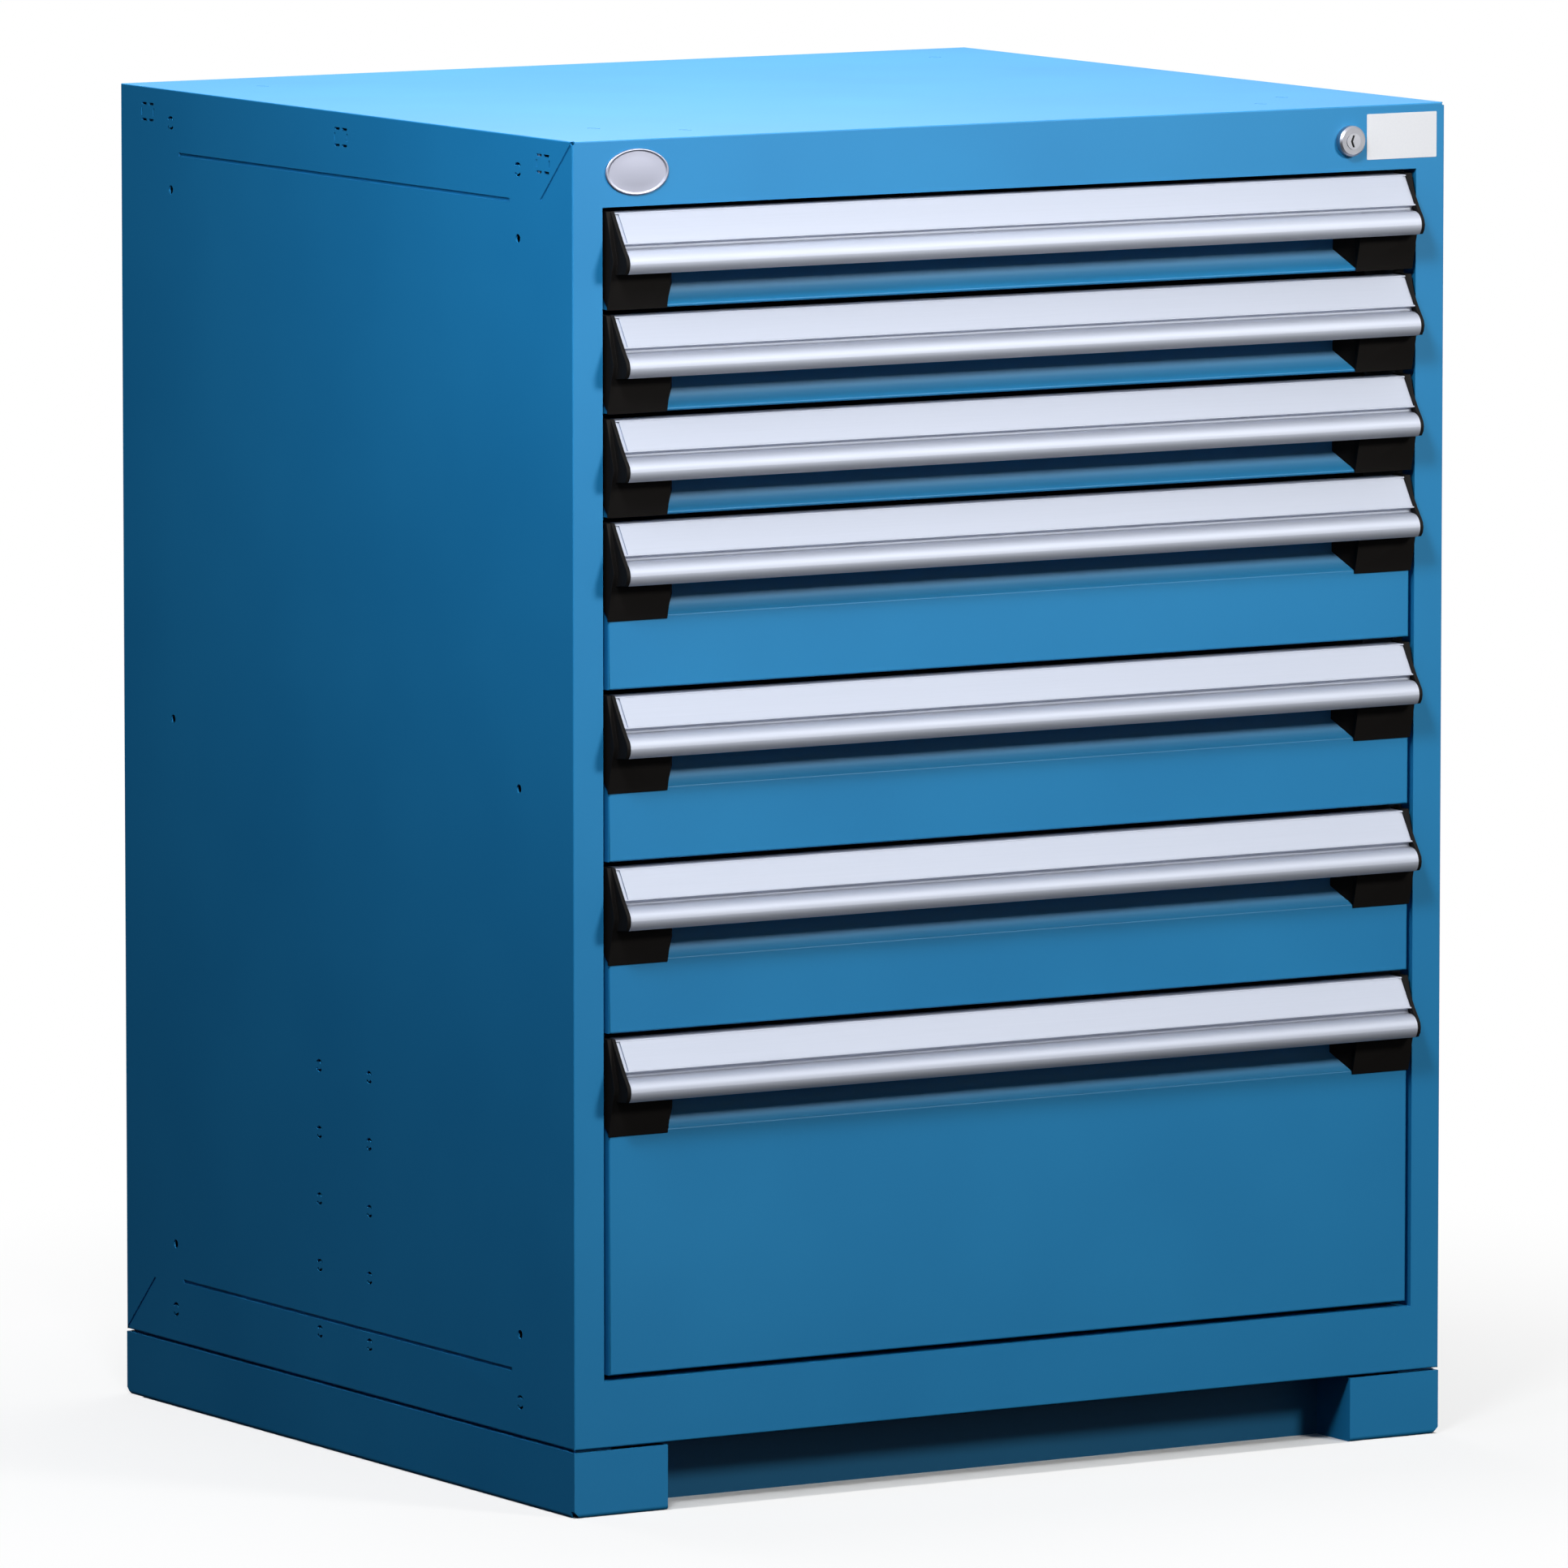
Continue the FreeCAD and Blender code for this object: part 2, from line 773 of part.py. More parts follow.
def drawer_handle(number):
    """The aluminium extrusion: sloping label face, groove, rounded finger lip and closed box.

    The lip is round outside and many-sided inside, which keeps this repeated piece light.
    """
    name = f"drawer_{number}_handle"
    body = new_body(name, drawer_level(number))
    wall = S.handle_wall
    deep, back = S.recess_depth, S.front_depth
    centre_y = S.nose_radius - S.nose_reach
    centre_z = -S.nose_drop
    slant = S.nose_radius * math.sqrt(0.5)
    inner = S.nose_radius - wall
    inner_slant = inner * math.sqrt(0.5)
    label = S.label_depth
    groove = centre_y + wall / 4
    rim = 0.06
    outer = [
        (back, 0),
        (0, 0),
        face_point(rim, ZERO),
        face_point(rim, label),
        face_point(1 - rim, label),
        face_point(1 - rim, ZERO),
        (-S.face_run, -S.face_drop),
        (groove, -S.face_drop - wall / 2),
        (groove, centre_z + S.nose_radius),
        (centre_y, centre_z + S.nose_radius, S.nose_radius, 1),
        (centre_y - S.nose_radius, centre_z, S.nose_radius, 1),
        (centre_y - slant, centre_z - slant),
        (centre_y - inner_slant, centre_z - inner_slant),
        (centre_y - inner, centre_z),
        (centre_y - inner_slant, centre_z + inner_slant),
        (centre_y, centre_z + inner),
        (deep, centre_z + inner),
        (deep, -S.sheet),
        (back, -S.sheet),
    ]
    floor = centre_z + S.nose_radius
    box = [
        (deep - wall, -wall),
        face_point(0.08, label + wall * 1.2),
        face_point(1 - rim, label + wall * 1.2),
        (groove + wall, floor),
        (deep - wall, floor),
    ]
    pad(body, f"{name}_extrusion", "YZ", [outer, box], None, handle_half * 2)
    return body


def drawer_label(number):
    """The label strip that lies in the channel of the handle's face."""
    name = f"drawer_{number}_label"
    body = new_body(name, drawer_level(number))
    top, bottom = 0.065, 0.935
    strip = [
        face_point(top, S.label_depth),
        face_point(top, S.label_depth - S.label_sheet),
        face_point(bottom, S.label_depth - S.label_sheet),
        face_point(bottom, S.label_depth),
    ]
    pad(body, f"{name}_strip", "YZ", [strip], None, (handle_half - S.label_margin) * 2)
    return body


def drawer_end_caps(number):
    """Moulded caps: a low outer face, a rim that follows the extrusion, and a block below.

    The block fills the end of the finger recess and laps the front just under it.
    """
    name = f"drawer_{number}_end_caps"
    body = new_body(f"{name}_left", drawer_level(number))
    deep, back = S.recess_depth, S.front_depth
    lap = -handle_zone - S.cap_lap
    foot = [
        (-S.sheet / 2, lap),
        (0, lap),
        (0, -handle_zone),
        (deep, S.recess_rise - handle_zone),
        (deep, -S.sheet),
        (back, -S.sheet),
        (back, 0),
    ]
    shoulder = (-S.nose_radius * 0.7, -S.nose_drop - S.nose_radius * 0.85)
    low_face = [(S.sheet / 2, 0), (-S.cap_nose, S.sheet - S.nose_drop), shoulder]
    turns = [math.pi / 8 * step for step in (2, 1, 0, -1, -2)]
    nose = [
        (
            S.nose_radius * (1 - math.cos(turn)) - S.nose_reach,
            S.nose_radius * math.sin(turn) - S.nose_drop,
        )
        for turn in turns
    ]
    rim_face = [(0, 0), (-S.face_run, -S.face_drop), *nose, shoulder]
    start = -front_half
    rim_start = start + S.cap_width - S.cap_rim
    pad(body, f"{name}_side", "YZ", [low_face + foot], start, S.cap_width - S.cap_rim)
    pad(body, f"{name}_rim", "YZ", [rim_face + foot], rim_start, S.cap_rim)
    top = S.nose_radius - S.handle_wall - S.nose_drop - S.roller_play
    block = [
        (deep, S.recess_rise - handle_zone),
        (deep, top),
        (shoulder[0], top),
        shoulder,
        *foot[:3],
    ]
    block_end = start + S.cap_reach + S.cap_draft
    pad(body, f"{name}_block", "YZ", [block], -handle_half, S.cap_reach + S.cap_draft - S.cap_width)
    wedge = [
        (block_end - S.cap_draft, shoulder[0] - S.sheet),
        (block_end + S.sheet, shoulder[0] - S.sheet),
        (block_end + S.sheet, deep + S.sheet),
        (block_end, deep),
        (block_end - S.cap_draft, 0),
    ]
    pocket(body, f"{name}_draft", "XY", [wedge], lap, -lap)
    return both_sides(name, body)


def drawer_rails(number):
    """The C rails on both sides of the tray, open towards the housing's sides, and the catch."""
    name = f"drawer_{number}_rails"
    body = new_body(f"{name}_left", rail_centre(number))
    outer = tray_rail_side - half_width
    section = channel(outer, outer - S.rail_sheet, tray_rail_mouth - half_width, rail_half)
    start = S.front_depth + S.hook_height
    end = S.housing_depth - S.tray_space
    pad(body, f"{name}_channel", "XZ", [section], start, end - start)
    return group(name, [body, mirrored(f"{name}_opposite", body), drawer_catch(number)])


# ---------------------------------------------------------------------------------------------
# Lock
# ---------------------------------------------------------------------------------------------
def lock_cylinder():
    """The lock's face, its neck through the top rail, and the hexagonal nut that grips it."""
    body = new_body("lock_cylinder")
    nut_end = bar_front - S.bar_sheet - S.bar_play
    face = (lock_x, lock_z, S.lock_face)
    pad(body, "lock_face", "XZ", [face], -S.lock_proud, S.lock_proud)
    soften(body, "lock_rim", "Chamfer", S.sheet, lambda place, edge: near(place.y, -S.lock_proud))
    neck = ring_outline(lock_x, lock_z, S.barrel_radius, ROUND_SIDES)
    pad(body, "lock_neck", "XZ", [neck], 0, S.sheet)
    hexagon = ring_outline(lock_x, lock_z, S.lock_face, 6)
    pad(body, "lock_nut", "XZ", [hexagon], S.sheet, nut_end - S.sheet)
    bore = (lock_x, lock_z, S.plug_radius + S.plug_play)
    pocket(body, "lock_bore", "XZ", [bore], -S.lock_proud, S.lock_proud + nut_end)
    return body


def key_plug():
    """The turning plug: keyway in front, a lever and its pin behind."""
    body = new_body("key_plug")
    start = -S.lock_proud - S.bar_play
    lever_start = bar_front - S.bar_sheet
    lever_end = bar_front - S.bar_play
    plug = (lock_x, lock_z, S.plug_radius)
    pad(body, "plug_core", "XZ", [plug], start, lever_start - start)
    wide, tip = S.plug_radius, S.crank_pin + S.bar_play
    lever = [
        (lock_x - wide, lock_z),
        (lock_x, lock_z + wide),
        (lock_x + crank_offset + tip, lock_z - crank_offset + tip / 2),
        (lock_x + crank_offset + tip, lock_z - crank_offset - tip),
        (lock_x + crank_offset - tip / 2, lock_z - crank_offset - tip),
    ]
    pad(body, "plug_lever", "XZ", [lever], lever_start, lever_end - lever_start)
    pin = ring_outline(lock_x + crank_offset, lock_z - crank_offset, S.crank_pin, ROUND_SIDES)
    pad(body, "plug_pin", "XZ", [pin], lever_end, bar_back + S.bar_play - lever_end)
    half = S.key_slot / 2
    tall = S.plug_radius * 0.75
    keyway = [
        (lock_x - half, lock_z - tall),
        (lock_x + half, lock_z - tall),
        (lock_x - half, lock_z),
        (lock_x + half, lock_z + tall),
        (lock_x - half, lock_z + tall),
        (lock_x - half * 3, lock_z),
    ]
    pocket(body, "plug_keyway", "XZ", [keyway], start, S.lock_proud)
    return body


def lock_bar():
    """A bar behind the right stile, with an arm to the key's pin and a finger for each drawer."""
    body = new_body("lock_bar")
    pin_z = lock_z - crank_offset
    arm_half = S.crank_pin + S.bar_play + S.bar_sheet
    arm_end = lock_x - S.bar_play
    last = front_top(len(DRAWER_STEPS))
    finger_high = -S.catch_drop - S.bar_play - S.bar_travel
    finger_low = finger_high - S.catch_depth
    upright = box_outline(
        (bar_inner, last + finger_low - S.step_height), (bar_outer, pin_z + arm_half)
    )
    pad(body, "bar_upright", "XZ", [upright], bar_front, S.bar_sheet)
    arm = box_outline((arm_end, pin_z - arm_half), (bar_inner, pin_z + arm_half))
    pad(body, "bar_arm", "XZ", [arm], bar_front, S.bar_sheet)
    finger_end = front_half - S.sheet - S.hook_height
    fingers = []
    for number in range(1, len(DRAWER_STEPS) + 1):
        top = front_top(number)
        fingers.append(
            box_outline((finger_end, top + finger_low), (bar_inner, top + finger_high))
        )
    pad(body, "bar_fingers", "XZ", fingers, bar_front, S.bar_sheet)
    reach = S.crank_pin + S.bar_play
    slot = box_outline(
        (lock_x + crank_offset - reach, pin_z - reach),
        (lock_x + S.crank_throw + reach, pin_z + reach),
    )
    pocket(body, "bar_slot", "XZ", [slot], bar_front, S.bar_sheet)
    return body


# ---------------------------------------------------------------------------------------------
# Base and plates
# ---------------------------------------------------------------------------------------------
def base_side(name, side):
    """A folded base side with its front foot, and a ledge that carries the housing."""

    def x(inset):
        return (half_width - inset) * side

    body = new_body(name, ZERO)
    thick = S.base_sheet
    depth = S.housing_depth
    plan = [
        (x(0), 0),
        (x(S.foot_width), 0),
        (x(S.foot_width), S.toe_setback + thick),
        (x(S.foot_width - thick), S.toe_setback + thick),
        (x(S.foot_width - thick), thick),
        (x(thick), thick),
        (x(thick), depth - thick),
        (x(S.base_flange), depth - thick),
        (x(S.base_flange), depth),
        (x(0), depth),
    ]
    wall_height = S.base_height - S.base_shadow
    pad(body, f"{name}_wall", "XY", [plan], 0, wall_height)
    ledge = [
        (x(thick), wall_height - thick),
        (x(thick), S.base_height),
        (x(thick + S.base_flange), S.base_height),
        (x(thick + S.base_flange), wall_height),
        (x(thick * 2), wall_height),
        (x(thick * 2), wall_height - thick),
    ]
    pad(body, f"{name}_ledge", "XZ", [ledge], thick * 2, depth - thick * 4)
    cut = S.base_chamfer
    rear_corner = [(depth, 0), (depth - cut, 0), (depth, cut)]
    corner_start = half_width - S.foot_width if side > 0 else -half_width
    pocket(body, f"{name}_rear_corner", "YZ", [rear_corner], corner_start, S.foot_width)
    foot_corner = [(x(0), 0), (x(cut), 0), (x(0), cut)]
    pocket(body, f"{name}_foot_corner", "XZ", [foot_corner], 0, cut)
    return body


def toe_plate():
    body = new_body("toe_plate", ZERO)
    half = half_width - S.foot_width
    outline = box_outline((-half, 0), (half, S.toe_height))
    pad(body, "toe_sheet", "XZ", [outline], S.toe_setback, S.base_sheet)
    return body


def base_rear():
    body = new_body("base_rear", ZERO)
    depth, thick = S.housing_depth, S.base_sheet
    wall_height = S.base_height - S.base_shadow
    wall = box_outline((depth - thick, 0), (depth, wall_height))
    pad(body, "base_rear_wall", "YZ", [wall], None, (half_width - S.base_flange) * 2)
    ledge = [
        (depth - thick, wall_height - thick * 2),
        (depth - thick, S.base_height),
        (depth - S.base_flange, S.base_height),
        (depth - S.base_flange, wall_height),
        (depth - thick * 2, wall_height),
        (depth - thick * 2, wall_height - thick * 2),
    ]
    ledge_half = half_width - thick - S.base_flange
    pad(body, "base_rear_ledge", "YZ", [ledge], None, ledge_half * 2)
    return body


def badge_plate():
    """A bare oval plate at the left of the top rail."""
    body = new_body("badge_plate")
    x = S.badge_inset - half_width
    z = housing_height - S.badge_drop
    turns = [2 * math.pi * index / BADGE_SIDES for index in range(BADGE_SIDES)]
    outline = [
        (x + S.badge_width * (math.cos(turn) / 2), z + S.badge_height * (math.sin(turn) / 2))
        for turn in turns
    ]
    pad(body, "badge_oval", "XZ", [outline], -S.badge_sheet, S.badge_sheet)
    return body


def blank_card():
    """A bare card stuck to the right end of the top rail."""
    body = new_body("blank_card")
    x = half_width - S.card_inset
    z = housing_height - S.card_drop
    half, rise = S.card_width / 2, S.card_height / 2
    outline = box_outline((x - half, z - rise), (x + half, z + rise))
    pad(body, "card_sheet_face", "XZ", [outline], -S.card_sheet, S.card_sheet)
    return body


# ---------------------------------------------------------------------------------------------
# Build, check and write
# ---------------------------------------------------------------------------------------------
def build_nodes():
    nodes = [
        side_panel("left_side_panel", -1),
        side_panel("right_side_panel", 1),
        shell_pan("top_panel", 1),
        shell_pan("floor_panel", -1),
        back_panel(),
        slide_posts(),
        fixed_rails(),
        base_side("base_left", -1),
        base_side("base_right", 1),
        toe_plate(),
        base_rear(),
        lock_cylinder(),
        key_plug(),
        lock_bar(),
        badge_plate(),
        blank_card(),
    ]
    for number in range(1, len(DRAWER_STEPS) + 1):
        nodes += [
            drawer_body(number),
            drawer_handle(number),
            drawer_label(number),
            drawer_end_caps(number),
            drawer_rails(number),
            carriage(number),
        ]
    return nodes


def check(nodes):
    """Stops if any object failed to build, or a node's shape is missing or not valid."""
    for item in doc.Objects:
        if "Invalid" in item.State or "Error" in item.State:
            raise RuntimeError(f"{item.Name} failed: {item.State}")
    for node in nodes:
        if node.Shape.isNull() or not node.Shape.isValid() or not node.Shape.Solids:
            raise RuntimeError(f"{node.Label} has no valid shape")


all_nodes = build_nodes()
doc.recompute()
check(all_nodes)
os.makedirs("parts", exist_ok=True)
for node in all_nodes:
    node.Shape.exportStep(f"parts/{node.Label}.step")
print(f"{len(all_nodes)} nodes, {sum(len(node.Shape.Solids) for node in all_nodes)} solids")
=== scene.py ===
import math

import bmesh
import bpy
import numpy as np
from mathutils import Euler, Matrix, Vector


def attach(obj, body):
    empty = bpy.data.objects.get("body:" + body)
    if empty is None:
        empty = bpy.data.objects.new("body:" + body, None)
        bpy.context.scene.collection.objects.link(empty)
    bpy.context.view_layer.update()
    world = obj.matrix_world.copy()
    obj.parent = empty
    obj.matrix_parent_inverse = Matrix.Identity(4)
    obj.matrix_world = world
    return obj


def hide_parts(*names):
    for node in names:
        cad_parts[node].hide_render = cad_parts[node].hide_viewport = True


# A painted steel drawer cabinet on a low base: seven full-extension drawers with aluminium
# handles and black end caps, and one lock.  X runs to the right, Y to the back and Z up.  The
# scene is in metres, and the sizes of the cabinet's pieces are in millimetres.
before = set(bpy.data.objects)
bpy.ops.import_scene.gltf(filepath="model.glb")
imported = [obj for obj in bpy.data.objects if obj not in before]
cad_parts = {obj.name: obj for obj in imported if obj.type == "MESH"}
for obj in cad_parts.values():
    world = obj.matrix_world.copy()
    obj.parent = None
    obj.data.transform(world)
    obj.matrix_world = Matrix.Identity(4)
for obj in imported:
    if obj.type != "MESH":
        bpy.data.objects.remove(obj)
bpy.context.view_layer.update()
MM = 0.001

# --------------------------------------------------------------------------------------------
# Camera: a long lens a little above the cabinet's top, off its front left corner, so that the
# upright edges stay nearly parallel
# --------------------------------------------------------------------------------------------
SENSOR = 36.0  # mm
LENS = 348.4  # mm
FAR_LIMIT = 100.0
CAMERA_PLACE = Vector((-5.9485, -9.8525, 1.8605))
CAMERA_YAW = math.radians(31.118)  # to the right of straight back
CAMERA_PITCH = math.radians(6.802)  # downwards

camera_data = bpy.data.cameras.new("camera")
camera_data.sensor_width = SENSOR
camera_data.lens = LENS
camera_data.clip_end = FAR_LIMIT
camera = bpy.data.objects.new("camera", camera_data)
camera.location = CAMERA_PLACE
camera.rotation_euler = Euler((math.pi / 2 - CAMERA_PITCH, 0, -CAMERA_YAW))
bpy.context.scene.collection.objects.link(camera)
bpy.context.scene.camera = camera

# --------------------------------------------------------------------------------------------
# Studio: a surround that is white to the eye, a pale floor that keeps the shadow, and four
# square soft boxes: one overhead, two in front and a weak one at the left side
# --------------------------------------------------------------------------------------------
bpy.context.scene.view_settings.view_transform = "Standard"


def linear(colour):
    """A linear RGBA from an sRGB hex string such as #2A7BAD."""
    parts = [int(colour[i : i + 2], 16) / 255 for i in (1, 3, 5)]
    curve = [p / 12.92 if p <= 0.04045 else ((p + 0.055) / 1.055) ** 2.4 for p in parts]
    return (*curve, 1.0)


def add(tree, kind, settings=None, **inputs):
    """A node with its settings; an input is a value or another node's output, by socket name."""
    item = tree.nodes.new(kind)
    for key, value in (settings or {}).items():
        setattr(item, key, value)
    for key, value in inputs.items():
        name = key.replace("_", " ")
        socket = next(s for s in item.inputs if s.name == name and s.enabled and not s.is_linked)
        if isinstance(value, bpy.types.NodeSocket):
            tree.links.new(value, socket)
        else:
            socket.default_value = value
    return item


SURROUND_STRENGTH = 0.03  # of the surround's own light on the cabinet
FLAG_HEADING = (-0.75, 0.66, 0.0)  # a dark flag stands back left and keeps the side deep
FLAG_EDGE = (0.1, 0.6)  # cosines to that heading between which the flag grows dark
world = bpy.data.worlds.new("surround")
bpy.context.scene.world = world
world.use_nodes = True
tree = world.node_tree
tree.nodes.clear()
path = add(tree, "ShaderNodeLightPath")
seen = add(tree, "ShaderNodeMath", {"operation": "ADD", "use_clamp": True})
tree.links.new(path.outputs["Is Camera Ray"], seen.inputs[0])
tree.links.new(path.outputs["Is Glossy Ray"], seen.inputs[1])
fill = add(tree, "ShaderNodeBackground", Color=linear("#F4F8FF"), Strength=SURROUND_STRENGTH)
heading = add(tree, "ShaderNodeTexCoord")
behind = add(tree, "ShaderNodeVectorMath", {"operation": "DOT_PRODUCT"})
tree.links.new(heading.outputs["Generated"], behind.inputs[0])
behind.inputs[1].default_value = FLAG_HEADING
flagged = add(
    tree,
    "ShaderNodeMapRange",
    {"interpolation_type": "SMOOTHSTEP"},
    Value=behind.outputs["Value"],
    From_Min=FLAG_EDGE[0],
    From_Max=FLAG_EDGE[1],
    To_Min=1.0,
    To_Max=0.0,
)
open_sky = add(tree, "ShaderNodeMath", {"operation": "MAXIMUM"}, Value=flagged.outputs[0])
tree.links.new(path.outputs["Is Camera Ray"], open_sky.inputs[1])
white = add(tree, "ShaderNodeBackground", Color=(1, 1, 1, 1), Strength=open_sky.outputs[0])
both = add(tree, "ShaderNodeMixShader", Fac=seen.outputs[0])
tree.links.new(fill.outputs[0], both.inputs[1])
tree.links.new(white.outputs[0], both.inputs[2])
add(tree, "ShaderNodeOutputWorld", Surface=both.outputs[0])

FLOOR_HALF = 9.0
FOOTPRINT = (0.381, 0.331)  # half the cabinet, and nothing glows under it
SHADOW_REACH = (0.5, 1.3)  # from the middle, where the shadow begins to fade and where it ends
SHADOW_VEIL = 0.75  # how white the floor is within the first of these
floor_mesh = bpy.data.meshes.new("floor")
floor_mesh.from_pydata(
    [(x * FLOOR_HALF, y * FLOOR_HALF, 0) for x, y in ((-1, -1), (1, -1), (1, 1), (-1, 1))],
    [],
    [(0, 1, 2, 3)],
)
floor = bpy.data.objects.new("floor", floor_mesh)
bpy.context.scene.collection.objects.link(floor)
floor_paint = bpy.data.materials.new("studio_floor")
floor_paint.use_nodes = True
tree = floor_paint.node_tree
tree.nodes.clear()
path = add(tree, "ShaderNodeLightPath")
spot = add(tree, "ShaderNodeTexCoord")
reach = add(tree, "ShaderNodeVectorMath", {"operation": "LENGTH"}, Vector=spot.outputs["Object"])
fade = add(
    tree,
    "ShaderNodeMapRange",
    {"interpolation_type": "SMOOTHSTEP"},
    Value=reach.outputs["Value"],
    From_Min=SHADOW_REACH[0],
    From_Max=SHADOW_REACH[1],
    To_Min=SHADOW_VEIL,
)
aside = add(tree, "ShaderNodeVectorMath", {"operation": "ABSOLUTE"})
tree.links.new(spot.outputs["Object"], aside.inputs[0])
shares = add(tree, "ShaderNodeVectorMath", {"operation": "DIVIDE"})
tree.links.new(aside.outputs["Vector"], shares.inputs[0])
shares.inputs[1].default_value = (*FOOTPRINT, 1.0)
parted = add(tree, "ShaderNodeSeparateXYZ", Vector=shares.outputs["Vector"])
larger = add(tree, "ShaderNodeMath", {"operation": "MAXIMUM"}, Value=parted.outputs["X"])
tree.links.new(parted.outputs["Y"], larger.inputs[1])
clear = add(tree, "ShaderNodeMath", {"operation": "GREATER_THAN"}, Value=larger.outputs[0])
clear.inputs[1].default_value = 1.0
open_floor = add(tree, "ShaderNodeMath", {"operation": "MULTIPLY"}, Value=fade.outputs[0])
tree.links.new(clear.outputs[0], open_floor.inputs[1])
share = add(tree, "ShaderNodeMath", {"operation": "MULTIPLY"}, Value=open_floor.outputs[0])
tree.links.new(path.outputs["Is Camera Ray"], share.inputs[1])
tone = add(tree, "ShaderNodeMix", {"data_type": "RGBA"}, Factor=path.outputs["Is Camera Ray"])
tone.inputs["A"].default_value = linear("#303234")  # what it throws back at the cabinet
tone.inputs["B"].default_value = linear("#F0F0F0")  # what it shows
matt = add(tree, "ShaderNodeBsdfDiffuse", Color=tone.outputs["Result"])
glow = add(tree, "ShaderNodeEmission", Color=(1, 1, 1, 1), Strength=1.0)
both = add(tree, "ShaderNodeMixShader", Fac=share.outputs[0])
tree.links.new(matt.outputs[0], both.inputs[1])
tree.links.new(glow.outputs[0], both.inputs[2])
add(tree, "ShaderNodeOutputMaterial", Surface=both.outputs[0])
floor_mesh.materials.append(floor_paint)

SOFT_BOXES = [
    # name, place, aim, width, watts, spread in degrees, tint
    ("box_over", (0.0, 0.4, 2.4), (0, 0, 1.0), 1.2, 46.0, 180, "#FFFFFF"),
    ("box_left", (-1.3, -1.63, 2.45), (0, -0.2, 0.95), 0.5, 15.3, 100, "#F6FAFF"),
    ("box_right", (1.2, -2.83, 1.97), (-0.1, -0.3, 0.95), 0.5, 20.2, 100, "#FFFCF4"),
    ("box_side", (-1.2, -0.6, 1.5), (-0.38, -0.25, 0.9), 0.6, 2.5, 110, "#F0F6FF"),
]
for name, place, aim, width, watts, spread, tint in SOFT_BOXES:
    lamp = bpy.data.lights.new(name, "AREA")
    lamp.shape = "SQUARE"
    lamp.size = width
    lamp.energy = watts
    lamp.spread = math.radians(spread)
    lamp.color = linear(tint)[:3]
    holder = bpy.data.objects.new(name, lamp)
    holder.location = place
    holder.rotation_euler = (Vector(place) - Vector(aim)).to_track_quat("Z", "Y").to_euler()
    bpy.context.scene.collection.objects.link(holder)

# --------------------------------------------------------------------------------------------
# Painted sheet: housing, base and drawers, folded from steel and powder coated.
# The coat is blue and satin, with the faint orange peel that baking leaves.
# --------------------------------------------------------------------------------------------
PEEL = 2.2  # mm between the swells of the coat's surface
PEEL_HEIGHT = 0.05  # mm
MOTTLE = 160.0  # mm between its faintly lighter and darker patches


def per_metre(size):
    """Noise scale for a pattern whose features are size millimetres apart."""
    return 1 / (size * MM)


def finish_start(name):
    """A new material's tree with its surface shader and the object's own coordinates."""
    material = bpy.data.materials.new(name)
    material.use_nodes = True
    tree = material.node_tree
    tree.nodes.clear()
    shader = add(tree, "ShaderNodeBsdfPrincipled")
    add(tree, "ShaderNodeOutputMaterial", Surface=shader.outputs[0])
    place = add(tree, "ShaderNodeTexCoord")
    return material, tree, shader, place.outputs["Object"]


def powder_coat(name, deep, pale):
    """Polyester powder coat over steel: satin, with soft orange peel and hardly any mottle."""
    material, tree, shader, place = finish_start(name)
    patches = add(tree, "ShaderNodeTexNoise", Vector=place, Scale=per_metre(MOTTLE), Detail=2.0)
    tones = add(tree, "ShaderNodeValToRGB", Fac=patches.outputs["Fac"])
    tones.color_ramp.elements[0].color = linear(deep)
    tones.color_ramp.elements[1].color = linear(pale)
    tones.color_ramp.elements[0].position = 0.3
    tones.color_ramp.elements[1].position = 0.7
    tree.links.new(tones.outputs["Color"], shader.inputs["Base Color"])
    peel = add(tree, "ShaderNodeTexNoise", Vector=place, Scale=per_metre(PEEL), Detail=1.0)
    swell = add(tree, "ShaderNodeBump", Strength=0.25, Height=peel.outputs["Fac"])
    swell.inputs["Distance"].default_value = PEEL_HEIGHT * MM
    tree.links.new(swell.outputs["Normal"], shader.inputs["Normal"])
    shader.inputs["Roughness"].default_value = 0.5
    shader.inputs["IOR"].default_value = 1.5
    shader.inputs["Specular IOR Level"].default_value = 0.4
    return material


def dress(material, names):
    """Gives these CAD nodes a material."""
    for name in names:
        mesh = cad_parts[name].data
        mesh.materials.clear()
        mesh.materials.append(material)


blue = powder_coat("blue_powder_coat", "#187AB1", "#1C7FB6")
dress(blue, ["floor_panel", "back_panel", "base_rear"])
# The toe plate gets a darker copy of the blue coat: painted shade for the shadow under the
# housing's overhang.
dress(powder_coat("painted_shade_powder_coat", "#0F5F8C", "#126390"), ["toe_plate"])

# --------------------------------------------------------------------------------------------
# Sides and top: folded sheet, painted.  Knock-outs are punched almost free of them, for cables
# and for what bolts on: narrow cuts with bridges left between them.
# --------------------------------------------------------------------------------------------
FRONT = -331.3  # mm, the plane of the housing's front
SIDE = 381.0
TOP = 1016.0
DEPTH = 685.8
HOUSING_LOW = 50.8
NEAR = 0.05  # mm within which a point counts as lying in a plane
MERGE = 0.001  # mm within which two points are one
CREASE = math.radians(35)  # edges sharper than this show as edges
KERF, FINE_KERF = 1.9, 1.3  # widths of the punched cuts in the sides and in the top
KERF_DEPTH = 2.2  # more than the sheet's thickness
ARC_STEPS = 9  # points along a cut
BOLT_COLUMNS = np.array([79.2, 606.6])  # behind the front, as all columns in the sides are
RING_LEVELS = np.array([990.6, 76.2])  # of the rings over and under the bolt holes
CABLE_COLUMNS = np.array([304.8, 381.0])
CABLE_LEVELS = 88.9 + 50.8 * np.arange(5)
CABLE_RING = 3.9  # radius
SLOT_COLUMNS = np.array([42.9, 342.9, 642.9])
SLOT_LEVEL = TOP - 19.0
